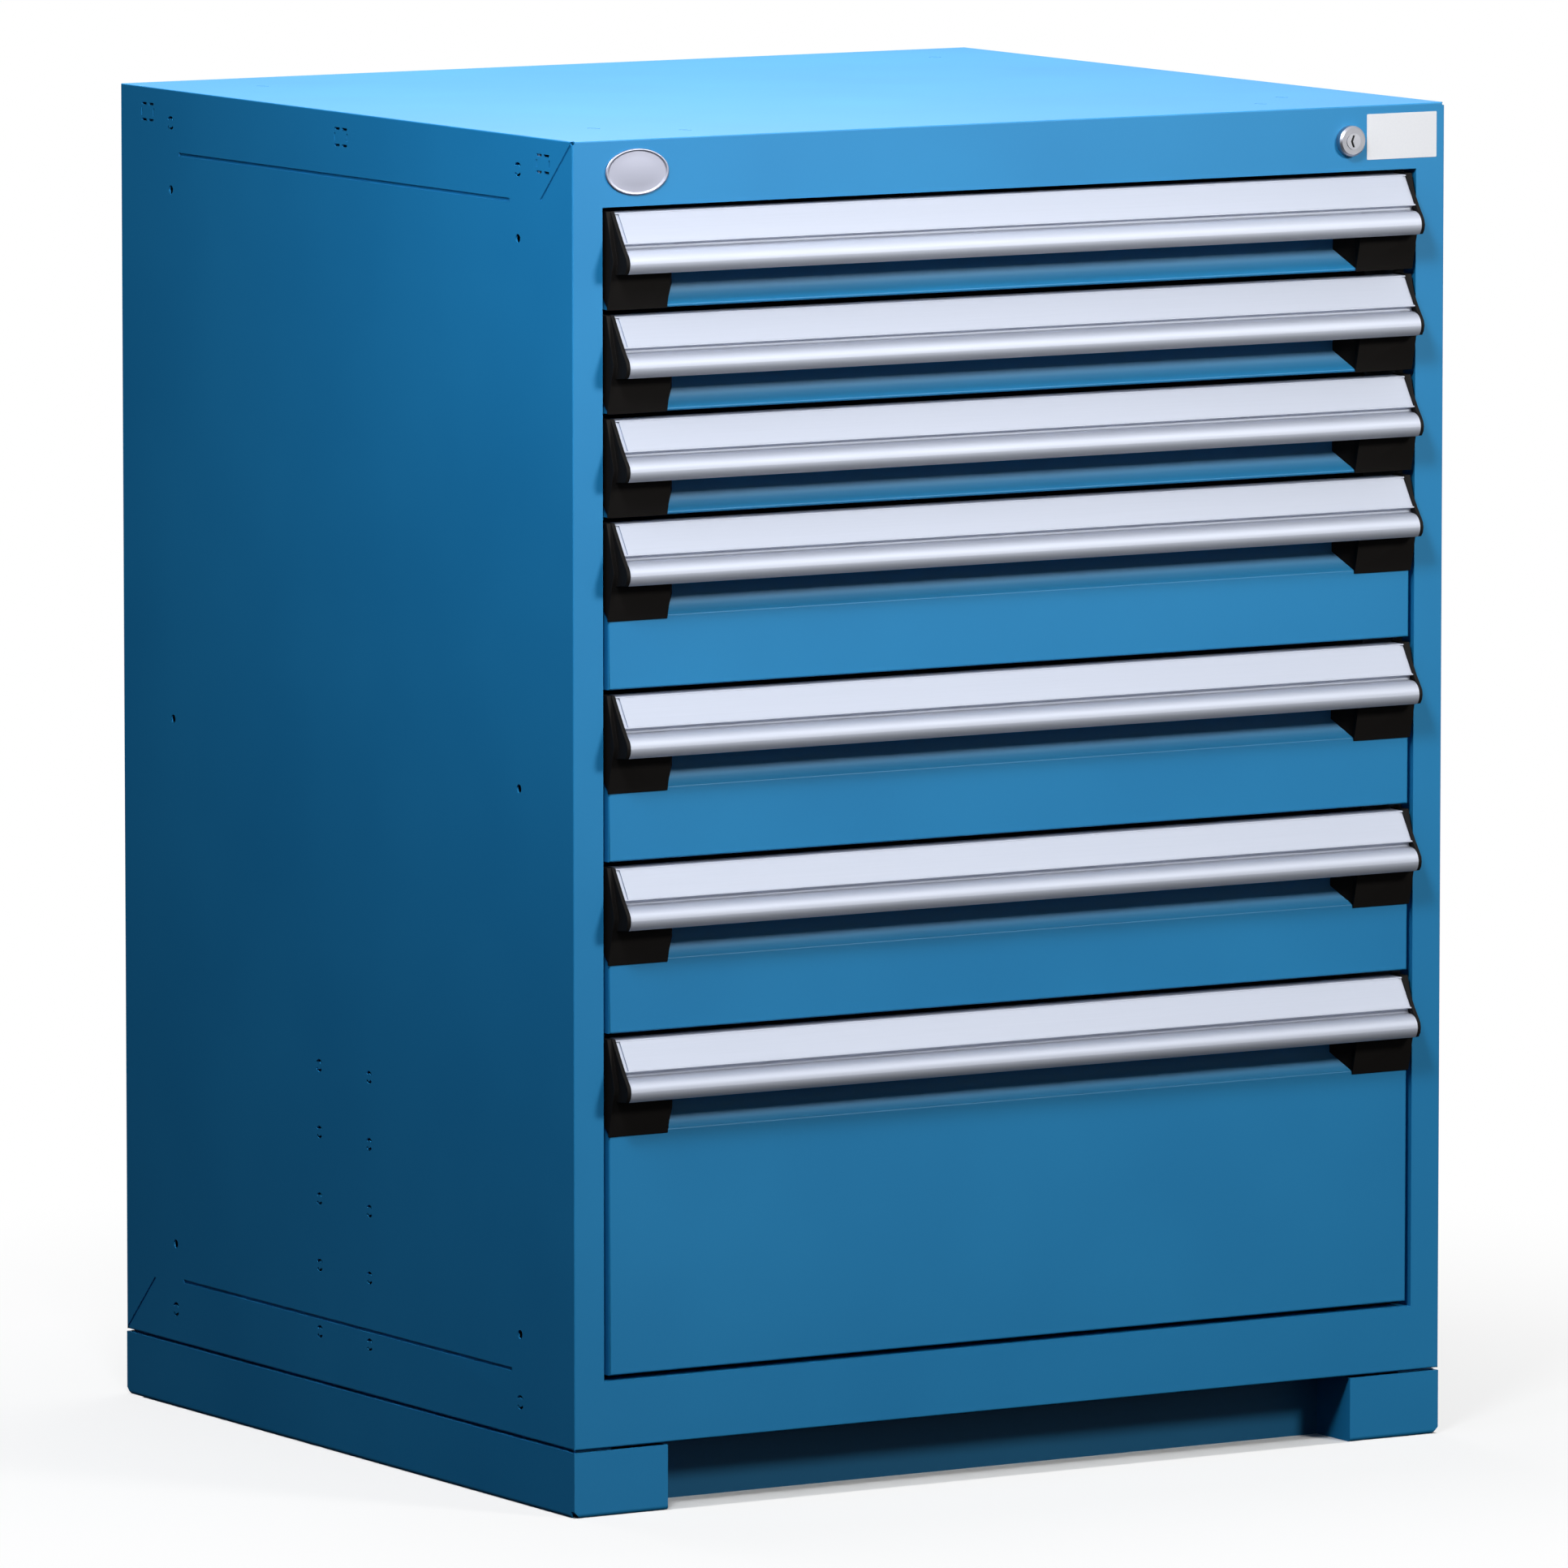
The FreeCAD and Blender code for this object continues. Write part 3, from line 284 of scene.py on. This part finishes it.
SEAM_LEVELS = (TOP - 48.6, HOUSING_LOW + 48.6)
SEAM_ENDS = (91.4, DEPTH - 91.4)
SEAM, MITRE_SEAM = 2.8, 1.4  # widths
SCORE = 1.45  # depth of the seams, which leave only the back of the sheet
MITRE = 45.7  # from a corner, along both edges, to the end of its mitre
NOTCH = 3.0  # width of the relief hole where three folds meet; the mitre there begins behind it
NOTCH_END = 2.6  # from the same corner, along both edges, to the end of that hole
PAST = 1.0  # how far a cut runs past the corner, or stops short of it
HEM = 1.4  # outside radius of the folds


def merged_mesh(node):
    """A CAD node's mesh with its doubles merged and its flat faces made whole."""
    shell = bmesh.new()
    shell.from_mesh(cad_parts[node].data)
    bmesh.ops.remove_doubles(shell, verts=shell.verts, dist=MERGE * MM)
    bmesh.ops.dissolve_limit(
        shell, angle_limit=math.radians(0.5), verts=shell.verts, edges=shell.edges
    )
    mesh = bpy.data.meshes.new(node)
    shell.to_mesh(mesh)
    shell.free()
    return mesh


def points_of(mesh):
    """A mesh's points in millimetres."""
    points = np.empty(3 * len(mesh.vertices))
    mesh.vertices.foreach_get("co", points)
    return points.reshape(-1, 3) / MM


def folded(mesh, radius, chosen):
    """Rounds the edges that chosen marks, as a press brake does.

    chosen is given the middles of the edges in millimetres, as an array, and returns a mask.
    """
    ends = np.empty(2 * len(mesh.edges), int)
    mesh.edges.foreach_get("vertices", ends)
    middles = points_of(mesh)[ends.reshape(-1, 2)].mean(1)
    shell = bmesh.new()
    shell.from_mesh(mesh)
    shell.edges.ensure_lookup_table()
    edges = [shell.edges[index] for index in np.flatnonzero(chosen(middles))]
    bmesh.ops.bevel(
        shell, geom=edges, offset=radius * MM, segments=5, profile=0.5, affect="EDGES"
    )
    shell.to_mesh(mesh)
    shell.free()
    return mesh


def outer(middles):
    """Marks the edges in the planes of the front and of the two sides."""
    return (middles[:, 1] < FRONT + NEAR) | (abs(middles[:, 0]) > SIDE - NEAR)


def closed_mesh(name, points, faces):
    """A mesh of points in millimetres, its doubles merged and its faces turned outwards."""
    mesh = bpy.data.meshes.new(name)
    mesh.from_pydata((points.reshape(-1, 3) * MM).tolist(), [], faces)
    shell = bmesh.new()
    shell.from_mesh(mesh)
    bmesh.ops.remove_doubles(shell, verts=shell.verts, dist=MERGE * MM)
    bmesh.ops.recalc_face_normals(shell, faces=shell.faces)
    shell.to_mesh(mesh)
    shell.free()
    return mesh


def fit(name, mesh, material, body, slot, *nodes, eased=0.0):
    """Shows a mesh as a piece on a body, in place of these nodes, its edges eased if asked."""
    mesh.materials.clear()
    mesh.materials.append(material)
    mesh.shade_smooth()
    mesh.set_sharp_from_angle(angle=CREASE)
    piece = bpy.data.objects.new(name, mesh)
    bpy.context.scene.collection.objects.link(piece)
    if eased:
        bevel = piece.modifiers.new("eased_edges", "BEVEL")
        bevel.width = eased * MM
        bevel.segments = 3
        bevel.limit_method = "ANGLE"
        bevel.angle_limit = CREASE
    even = piece.modifiers.new("even_shading", "WEIGHTED_NORMAL")
    even.keep_sharp = not eased
    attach(piece, body)
    if nodes:
        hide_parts(*nodes)
    return piece


def kerf_bars(paths, width=KERF, depth=KERF_DEPTH):
    """Closed bars to cut with, along flat paths of shape (bars, steps, 2).

    Each section is a rectangle: half the width to either side of the path along its normal, and
    the depth into the sheet and out of it.
    """
    ahead = np.gradient(paths, axis=1)
    ahead /= np.linalg.norm(ahead, axis=-1, keepdims=True)
    normal = np.stack([-ahead[..., 1], ahead[..., 0]], -1)
    beside = width / 2 * np.array([-1.0, 1.0, 1.0, -1.0])
    flat = paths[:, :, None] + normal[:, :, None] * beside[:, None]
    level = np.broadcast_to(depth * np.array([1.0, 1.0, -1.0, -1.0]), flat.shape[:-1])
    return np.concatenate([flat, level[..., None]], -1)


def bar_faces(bars, steps):
    """Quads round each bar, from each section to the next, and one at each end."""
    ring = np.arange(steps * 4).reshape(steps, 4)
    beside = np.roll(ring, -1, 1)
    sides = np.stack([ring[:-1], beside[:-1], beside[1:], ring[1:]], -1).reshape(-1, 4)
    one = np.concatenate([sides, ring[[0]], ring[[-1]]])
    return (one + steps * 4 * np.arange(bars)[:, None, None]).reshape(-1, 4).tolist()


def ring_cuts(centres, radius=4.4, sweep=110.0):
    """Two arcs to a ring, above and below its centre: centre + radius (cos, sin) of the turn."""
    turn = np.radians(np.array([[90.0], [270.0]]) + sweep * np.linspace(-0.5, 0.5, ARC_STEPS))
    arc = radius * np.stack([np.cos(turn), np.sin(turn)], -1)
    return (centres[:, None, None] + arc).reshape(-1, ARC_STEPS, 2)


def straight_cuts(ends):
    """Paths from the first to the second of each pair of points."""
    ends = np.array(ends)
    share = np.linspace(0, 1, ARC_STEPS)[:, None]
    return ends[:, None, 0] + (ends[:, None, 1] - ends[:, None, 0]) * share


def slot_cuts(centres, across=18.6, up=12.4, bridge=1.6):
    """Six dashes to a rectangle: two along the top, two along the bottom, one up each side."""
    half, rise = across / 2, up / 2
    ends = [
        [(-half, rise), (-bridge, rise)],
        [(bridge, rise), (half, rise)],
        [(-half, -rise), (-bridge, -rise)],
        [(bridge, -rise), (half, -rise)],
        [(-half, 2 * bridge - rise), (-half, rise - 2 * bridge)],
        [(half, 2 * bridge - rise), (half, rise - 2 * bridge)],
    ]
    return (centres[:, None, None] + straight_cuts(ends)).reshape(-1, ARC_STEPS, 2)


def punched(mesh, points, faces):
    """A panel with the bars at these points cut out of it.

    Panel and bars have to be closed and free of faces that cross, so the folds are rounded
    afterwards.
    """
    panel = bpy.data.objects.new("panel", mesh)
    punch = bpy.data.objects.new("punch", closed_mesh("punch", points, faces))
    for item in (panel, punch):
        bpy.context.scene.collection.objects.link(item)
    cut = panel.modifiers.new("cut", "BOOLEAN")
    cut.object = punch
    cut.operation = "DIFFERENCE"
    cut.solver = "MANIFOLD"
    ready = panel.evaluated_get(bpy.context.evaluated_depsgraph_get())
    mesh = bpy.data.meshes.new_from_object(ready)
    for item in (panel, punch):
        bpy.data.objects.remove(item)
    return mesh


def lattice(columns, rows):
    """Every (column, row) pair."""
    return np.stack(np.meshgrid(columns, rows), -1).reshape(-1, 2)


side_bars = np.concatenate(
    [
        kerf_bars(ring_cuts(lattice(BOLT_COLUMNS, RING_LEVELS))),
        kerf_bars(ring_cuts(lattice(CABLE_COLUMNS, CABLE_LEVELS), radius=CABLE_RING)),
        kerf_bars(slot_cuts(lattice(SLOT_COLUMNS, [SLOT_LEVEL]))),
        kerf_bars(
            straight_cuts([[(SEAM_ENDS[0], z), (SEAM_ENDS[1], z)] for z in SEAM_LEVELS]),
            SEAM,
            SCORE,
        ),
        kerf_bars(
            straight_cuts(
                [
                    [(NOTCH, TOP - NOTCH), (MITRE, TOP - MITRE)],
                    [(DEPTH - PAST, HOUSING_LOW + PAST), (DEPTH - MITRE, HOUSING_LOW + MITRE)],
                ]
            ),
            MITRE_SEAM,
            SCORE,
        ),
        kerf_bars(straight_cuts([[(-PAST, TOP + PAST), (NOTCH_END, TOP - NOTCH_END)]]), NOTCH),
    ]
)
notch_bar = side_bars[-1:]


def on_side(bars, sign):
    """The bars' points in space: (across, up, depth) on the side at that sign of X."""
    return np.stack([sign * (SIDE - bars[..., 2]), FRONT + bars[..., 0], bars[..., 1]], -1)


for name, sign in (("left", -1), ("right", 1)):
    mesh = punched(
        merged_mesh(f"{name}_side_panel"),
        on_side(side_bars, sign),
        bar_faces(len(side_bars), ARC_STEPS),
    )
    mesh = folded(
        mesh,
        HEM,
        lambda middles: outer(middles)
        & ((middles[:, 2] < HOUSING_LOW + NEAR) | (middles[:, 2] > TOP - NEAR)),
    )
    fit(f"{name}_side", mesh, blue, "cabinet", "blue_paint", f"{name}_side_panel")

top_marks = np.array(
    [
        (-302.0, 104.0),
        (-302.0, 604.0),
        (302.0, 104.0),
        (302.0, 604.0),
        (-252.0, 56.0),
        (252.0, 56.0),
    ]
)
top_bars = kerf_bars(ring_cuts(top_marks), FINE_KERF)
top_bars = np.stack([top_bars[..., 0], FRONT + top_bars[..., 1], TOP - top_bars[..., 2]], -1)
top_bars = np.concatenate([top_bars] + [on_side(notch_bar, sign) for sign in (-1, 1)])
mesh = punched(merged_mesh("top_panel"), top_bars, bar_faces(len(top_bars), ARC_STEPS))
fit("top", mesh, blue, "cabinet", "blue_paint", "top_panel")

# --------------------------------------------------------------------------------------------
# Base and drawers: folded steel sheet, its corners eased by the folding and softened by the
# paint.  The base's feet are channels under the sides.  A drawer is a front, the recess under
# its handle, and the tray behind.
# --------------------------------------------------------------------------------------------
WIDE = 1e4  # mm, beyond everything
BASE_TOP = HOUSING_LOW - 1.1  # the base's folds leave a dark line under the housing


def clipped(mesh, low, high):
    """The mesh with the points outside a box, in millimetres, brought onto its sides."""
    points = points_of(mesh).clip(low, high)
    mesh.vertices.foreach_set("co", points.ravel() * MM)
    return mesh


FLOOR_FOLD = 3.0
for name in ("base_left", "base_right"):
    mesh = clipped(merged_mesh(name), -WIDE, [WIDE, WIDE, BASE_TOP])
    mesh = folded(mesh, FLOOR_FOLD, lambda middles: outer(middles) & (middles[:, 2] < NEAR))
    mesh = folded(mesh, HEM, lambda middles: outer(middles) & (middles[:, 2] > BASE_TOP - NEAR))
    fit(f"{name}_foot", mesh, blue, "cabinet", "blue_paint", name)

FRONT_HALF = 350.9  # mm; the fronts keep this and the next, so the gaps round them show dark
FRONT_RISE = 1.0  # mm that a front's lower edge stands above the CAD's
DRAWERS = [f"drawer_{number}" for number in range(1, 8)]
for drawer in DRAWERS:
    node = f"{drawer}_body"
    mesh = merged_mesh(node)
    low = points_of(mesh)[:, 2].min() + FRONT_RISE
    mesh = clipped(mesh, [-FRONT_HALF, -WIDE, low], [FRONT_HALF, WIDE, WIDE])
    mesh = folded(
        mesh,
        HEM,
        lambda middles: (middles[:, 1] < FRONT + NEAR)
        & ((abs(middles[:, 0]) > FRONT_HALF - NEAR) | (middles[:, 2] < low + NEAR)),
    )
    fit(f"{drawer}_front_and_tray", mesh, blue, drawer, "blue_paint", node)

# --------------------------------------------------------------------------------------------
# Handles: one aluminium extrusion across each drawer, satin anodised; its corners come from
# the die with small radii.  A strip of the same tone slides into its label channel.
# --------------------------------------------------------------------------------------------
DIE_LINE = 0.9  # mm between the die's lines, coarser than real so that they show
DIE_STRETCH = 0.01  # the lines' scale along the handle, as a share of that across it
HANDLE_ENDS = (-345.5, 345.5)
WALL = 1.8  # thickness of the extrusion
NOSE = 10.0  # radius of the finger lip
NOSE_Y, NOSE_Z = -13.2, -37.5  # its middle, from the front plane and the drawer's top
FACE_RUN, FACE_DROP = 15.0, 23.4  # forward and down along the sloping label face
CHANNEL = 1.4  # depth of the label channel
CHANNEL_ENDS = (0.085, 0.955)  # shares of the face
STRIP_LOW = 0.1  # from the rim of the channel to the label strip's face
STRIP_ENDS = (-342.5, 342.5)
EASE = 0.9  # the extrusion lies this far under the top of its end caps
GROOVE_Y = -9.8  # the bottom of the shadow groove between the face and the lip
RECESS_Y, BACK_Y = 13.0, 16.0  # the two faces of the wall at the back
LIP_PAST = 0.9  # how far the lip runs on past its arc, so that its end can be round
ARC = 0.999  # of a radius, which keeps the ends of two arcs that meet apart
DRAWER_TOPS = [963.6, 887.4, 811.2, 735.0, 608.0, 481.0, 354.0]  # from drawer 1 down


def rounded(corners, steps=10):
    """A closed outline through (across, up, radius) corners.

    At each corner an arc touches both sides: it starts radius / tan(half the angle) before the
    corner, its centre lies on the bisector, and its points turn evenly from one side to the other.
    """
    spot, radius = corners[:, :2], corners[:, 2:]
    back, ahead = np.roll(spot, 1, 0) - spot, np.roll(spot, -1, 0) - spot
    back /= np.linalg.norm(back, axis=1, keepdims=True)
    ahead /= np.linalg.norm(ahead, axis=1, keepdims=True)
    half = np.arccos((back * ahead).sum(1, keepdims=True)) / 2
    middle = back + ahead
    middle *= radius / np.sin(half) / np.linalg.norm(middle, axis=1, keepdims=True)
    first = back * radius / np.tan(half) - middle
    last = ahead * radius / np.tan(half) - middle
    sweep = (math.pi - 2 * half)[:, None]
    share = np.linspace(0, 1, steps)[None, :, None]
    turned = np.sin((1 - share) * sweep) * first[:, None] + np.sin(share * sweep) * last[:, None]
    return ((spot + middle)[:, None] + turned / np.sin(sweep)).reshape(-1, 2)


def handle_outline():
    """The extrusion's section, as (across, up) from the front plane and the drawer's top."""
    inner = NOSE - WALL
    lean = math.tan(math.pi / 8)
    lip = math.sqrt(0.5)
    corners = [(BACK_Y, -EASE, 0.4), (-FACE_RUN * EASE / FACE_DROP, -EASE, 0.7)]
    for share, depth, radius in (
        (CHANNEL_ENDS[0], 0, 0.15),
        (CHANNEL_ENDS[0], CHANNEL, 0.2),
        (CHANNEL_ENDS[1], CHANNEL, 0.2),
        (CHANNEL_ENDS[1], 0, 0.15),
        (1.0, 0, 0.6),
    ):
        corners.append((depth - FACE_RUN * share, -FACE_DROP * share, radius))
    corners += [
        (GROOVE_Y, -FACE_DROP - WALL / 2, 0.7),
        (GROOVE_Y, NOSE_Z + NOSE, 2.4),
        (NOSE_Y - NOSE, NOSE_Z + NOSE, NOSE * ARC),
        (NOSE_Y - NOSE, NOSE_Z - NOSE * lean, NOSE * ARC),
        (NOSE_Y + (LIP_PAST - NOSE) * lip, NOSE_Z - (NOSE + LIP_PAST) * lip, 0.85),
        (NOSE_Y + (LIP_PAST - inner) * lip, NOSE_Z - (inner + LIP_PAST) * lip, 0.85),
        (NOSE_Y - inner, NOSE_Z - inner * lean, inner * ARC),
        (NOSE_Y - inner, NOSE_Z + inner, inner * ARC),
        (RECESS_Y, NOSE_Z + inner, 0.4),
        (RECESS_Y, -WALL - EASE, 0.4),
        (BACK_Y, -WALL - EASE, 0.4),
    ]
    return rounded(np.array(corners))


def extruded(name, outline, ends, axis=0):
    """The outline carried straight along an axis from one end to the other, and closed there."""
    flat = np.broadcast_to(outline, (2, *outline.shape))
    columns = [flat[..., 0], flat[..., 1]]
    columns.insert(axis, np.broadcast_to(np.reshape(ends, (2, 1)), flat.shape[:2]))
    near, far = np.arange(2 * len(outline)).reshape(2, -1)
    sides = np.stack([near, np.roll(near, -1), np.roll(far, -1), far], -1).tolist()
    return closed_mesh(name, np.stack(columns, -1), sides + [near.tolist(), far.tolist()])


def anodised(name, colour, roughness, metallic):
    """Anodised aluminium: a satin metal under a milky film, with fine lines along X."""
    material, tree, shader, place = finish_start(name)
    shader.inputs["Base Color"].default_value = linear(colour)
    shader.inputs["Metallic"].default_value = metallic
    stretch = add(tree, "ShaderNodeMapping", Vector=place)
    stretch.inputs["Scale"].default_value = (DIE_STRETCH, 1, 1)
    lines = add(
        tree,
        "ShaderNodeTexNoise",
        Vector=stretch.outputs[0],
        Scale=per_metre(DIE_LINE),
        Detail=2.0,
    )
    rough = add(
        tree,
        "ShaderNodeMapRange",
        Value=lines.outputs["Fac"],
        To_Min=roughness - 0.04,
        To_Max=roughness + 0.04,
    )
    tree.links.new(rough.outputs[0], shader.inputs["Roughness"])
    return material


def strip_outline():
    """The label strip's section: a flat bar in the channel, its face just below the rim."""
    corners = []
    for share, depth in (
        (CHANNEL_ENDS[0], STRIP_LOW),
        (CHANNEL_ENDS[1], STRIP_LOW),
        (CHANNEL_ENDS[1], CHANNEL),
        (CHANNEL_ENDS[0], CHANNEL),
    ):
        corners.append((depth - FACE_RUN * share, -FACE_DROP * share, 0.1))
    return rounded(np.array(corners), steps=4)


satin = anodised("anodised_aluminium", "#AFB4C1", 0.66, 0.82)
outline, strip = handle_outline(), strip_outline()
for drawer, level in zip(DRAWERS, DRAWER_TOPS):
    mesh = extruded(f"{drawer}_extrusion", outline + (FRONT, level), HANDLE_ENDS)
    fit(f"{drawer}_extrusion", mesh, satin, drawer, "handle_aluminium", f"{drawer}_handle")
    mesh = extruded(f"{drawer}_label_strip", strip + (FRONT, level), STRIP_ENDS)
    fit(f"{drawer}_label_strip", mesh, satin, drawer, "label_strip", f"{drawer}_label")

# --------------------------------------------------------------------------------------------
# End caps: black ABS mouldings over both ends of each handle, with a rim that follows its
# section and a wedge-shaped block behind.  The mould gives a fine spark-eroded grain.
# --------------------------------------------------------------------------------------------
GRAIN = 0.7  # mm between the grain's hollows, coarser than real so that it shows
GRAIN_HEIGHT = 0.03  # mm
CAP_EASE = 0.6  # mm


def moulded_black():
    """Black ABS: dull gloss broken by a fine grain."""
    material, tree, shader, place = finish_start("black_abs")
    shader.inputs["Base Color"].default_value = linear("#0F0D0C")
    shader.inputs["Roughness"].default_value = 0.65
    shader.inputs["IOR"].default_value = 1.53
    shader.inputs["Specular IOR Level"].default_value = 0.1
    grain = add(tree, "ShaderNodeTexNoise", Vector=place, Scale=per_metre(GRAIN), Detail=1.0)
    bump = add(tree, "ShaderNodeBump", Strength=0.3, Height=grain.outputs["Fac"])
    bump.inputs["Distance"].default_value = GRAIN_HEIGHT * MM
    tree.links.new(bump.outputs["Normal"], shader.inputs["Normal"])
    return material


black = moulded_black()
for drawer in DRAWERS:
    node = f"{drawer}_end_caps"
    mesh = merged_mesh(node)
    fit(f"{drawer}_mouldings", mesh, black, drawer, "cap_plastic", node, eased=CAP_EASE)

# --------------------------------------------------------------------------------------------
# Slides, posts and lock bar: steel, zinc plated after pressing, with a faint spangle.  The
# rails hook into the posts' slots, and the carriages roll between them and the drawers.
# --------------------------------------------------------------------------------------------
SPANGLE = 9.0  # mm across a patch


def zinc_plate():
    """Passivated zinc on steel: a dull grey metal whose gloss varies from patch to patch."""
    material, tree, shader, place = finish_start("zinc_plate")
    shader.inputs["Metallic"].default_value = 0.6
    spangle = add(tree, "ShaderNodeTexVoronoi", Vector=place, Scale=per_metre(SPANGLE))
    tones = add(tree, "ShaderNodeValToRGB", Fac=spangle.outputs["Distance"])
    tones.color_ramp.elements[0].color = linear("#B4B8BC")
    tones.color_ramp.elements[1].color = linear("#A6ABB0")
    tree.links.new(tones.outputs["Color"], shader.inputs["Base Color"])
    rough = add(
        tree, "ShaderNodeMapRange", Value=spangle.outputs["Distance"], To_Min=0.28, To_Max=0.42
    )
    tree.links.new(rough.outputs[0], shader.inputs["Roughness"])
    return material


zinc = zinc_plate()
dress(zinc, ["slide_posts", "fixed_rails", "lock_bar"])
dress(zinc, [f"{drawer}_rails" for drawer in DRAWERS])
dress(zinc, [f"carriage_{number}" for number in range(1, 8)])

# --------------------------------------------------------------------------------------------
# Lock: a die-cast zinc cylinder held by a nut behind the top rail, and the plug that turns in
# it, both nickel plated; the wafers in its keyway are shown black, as painted shade in the keyway.
# --------------------------------------------------------------------------------------------
LOCK_X, LOCK_Z = 295.2, 990.0
WAFER_Y = -5.3  # mm from the rail's front to the wafers, which lie in the plug's keyway
HAZE = 6.0  # mm between the plating's clearer and duller patches


def nickel_plate(name, colour):
    """Satin nickel over zinc: a soft grey metal, dulled a little by handling."""
    material, tree, shader, place = finish_start(name)
    shader.inputs["Base Color"].default_value = linear(colour)
    shader.inputs["Metallic"].default_value = 1.0
    haze = add(tree, "ShaderNodeTexNoise", Vector=place, Scale=per_metre(HAZE), Detail=3.0)
    rough = add(tree, "ShaderNodeMapRange", Value=haze.outputs["Fac"], To_Min=0.3, To_Max=0.42)
    tree.links.new(rough.outputs[0], shader.inputs["Roughness"])
    return material


def dished(name, centres, half_across, half_up, rings, sides=72, facing=-1):
    """Closed oval discs whose faces look along Y: to the front, or to the back if facing is 1.

    Each ring is (share of the half sizes, height over the centre's plane); its points are
    centre + (share half_across cos t, facing height, share half_up sin t).
    """
    share, height = np.array(rings).T[:, :, None]
    turn = np.linspace(0, 2 * math.pi, sides, endpoint=False)
    lift = np.broadcast_to(facing * height, (len(rings), sides))
    disc = np.stack(
        [half_across * share * np.cos(turn), lift, half_up * share * np.sin(turn)], -1
    )
    points = np.array(centres)[:, None, None] + disc
    ring = np.arange(len(rings) * sides).reshape(len(rings), sides)
    beside = np.roll(ring, -1, 1)
    quads = np.stack([ring[:-1], beside[:-1], beside[1:], ring[1:]], -1).reshape(-1, 4)
    starts = ring.size * np.arange(len(centres))
    sides_of_all = (quads + starts[:, None, None]).reshape(-1, 4).tolist()
    ends_of_all = [(end + start).tolist() for start in starts for end in (ring[0], ring[-1])]
    return closed_mesh(name, points, sides_of_all + ends_of_all)


dress(nickel_plate("nickel_plate", "#A9ABB4"), ["lock_cylinder"])
dress(nickel_plate("nickel_plug", "#B9BBC4"), ["key_plug"])
# The wafers get the end caps' black: painted shade deep in the keyway, not the wafers' own metal.
wafers = dished(
    "keyway_shade_wafers",
    [(LOCK_X, FRONT + WAFER_Y, LOCK_Z)],
    3.6,
    5.0,
    [(1.0, -0.5), (1.0, 0.0), (0.5, 0.1)],
    sides=24,
)
fit("keyway_shade_wafers", wafers, black, "key", "lock_chrome")

# --------------------------------------------------------------------------------------------
# Badge plate and card on the top rail: a bare oval plate, pressed from aluminium with a raised
# rim and anodised grey, and a bare white card, both stuck on.
# --------------------------------------------------------------------------------------------
BADGE_X, BADGE_Z = -326.5, 992.0
BADGE_HALF = (26.85, 17.0)
CARD_MIDDLE = np.array([342.3, 992.2])
CARD_HALF = np.array([31.3, 17.2])
CARD_CORNER, CARD_SHEET = 0.8, 0.3  # radius and thickness
FIBRE = 1.5  # mm between the card's paler and darker spots
badge_rings = [
    (1.0, 0.0),
    (1.0, 1.0),
    (0.985, 1.35),
    (0.96, 1.5),
    (0.93, 1.4),
    (0.91, 1.1),
    (0.88, 1.0),
    (0.6, 1.12),
    (0.3, 1.2),
    (0.05, 1.22),
]
badge = dished("badge", [(BADGE_X, FRONT, BADGE_Z)], *BADGE_HALF, badge_rings)
badge_finish = anodised("badge_aluminium", "#9C9FB0", 0.45, 1.0)
fit("badge", badge, badge_finish, "cabinet", "badge_metal", "badge_plate")


def plain_card():
    """Uncoated white card: matt, with a faint fibre."""
    material, tree, shader, place = finish_start("white_card")
    fibre = add(tree, "ShaderNodeTexNoise", Vector=place, Scale=per_metre(FIBRE), Detail=3.0)
    tones = add(tree, "ShaderNodeValToRGB", Fac=fibre.outputs["Fac"])
    tones.color_ramp.elements[0].color = linear("#D2D4DC")
    tones.color_ramp.elements[1].color = linear("#DADCE2")
    tree.links.new(tones.outputs["Color"], shader.inputs["Base Color"])
    shader.inputs["Roughness"].default_value = 0.7
    return material


turns = np.array([(-1, -1), (1, -1), (1, 1), (-1, 1)])
corners = np.column_stack([CARD_MIDDLE + turns * CARD_HALF, np.full(4, CARD_CORNER)])
card = extruded("card", rounded(corners), (FRONT - CARD_SHEET, FRONT), axis=1)
fit("card", card, plain_card(), "cabinet", "card", "blank_card")

# --------------------------------------------------------------------------------------------
# Blind rivets in four rows across the back panel: aluminium domes, each with the dimple that
# its pulled stem leaves.
# --------------------------------------------------------------------------------------------
RIVET_Y = 353.0
RIVET_COLUMNS = (-352.0, -176.0, 0.0, 176.0, 352.0)
RIVET_ROWS = (75.0, 385.0, 695.0, 992.0)
RIVET = 4.0  # radius
rivet_finish = nickel_plate("rivet_aluminium", "#B4B6BA")
rivet_places = [(x, RIVET_Y, z) for x in RIVET_COLUMNS for z in RIVET_ROWS]
rivet_rings = [
    (1.0, -0.2),
    (1.0, 0.3),
    (0.8, 0.9),
    (0.5, 1.25),
    (0.28, 1.3),
    (0.22, 0.9),
    (0.05, 0.8),
]
rivets = dished("back_rivets", rivet_places, RIVET, RIVET, rivet_rings, sides=24, facing=1)
fit("back_rivets", rivets, rivet_finish, "cabinet", "lock_chrome")
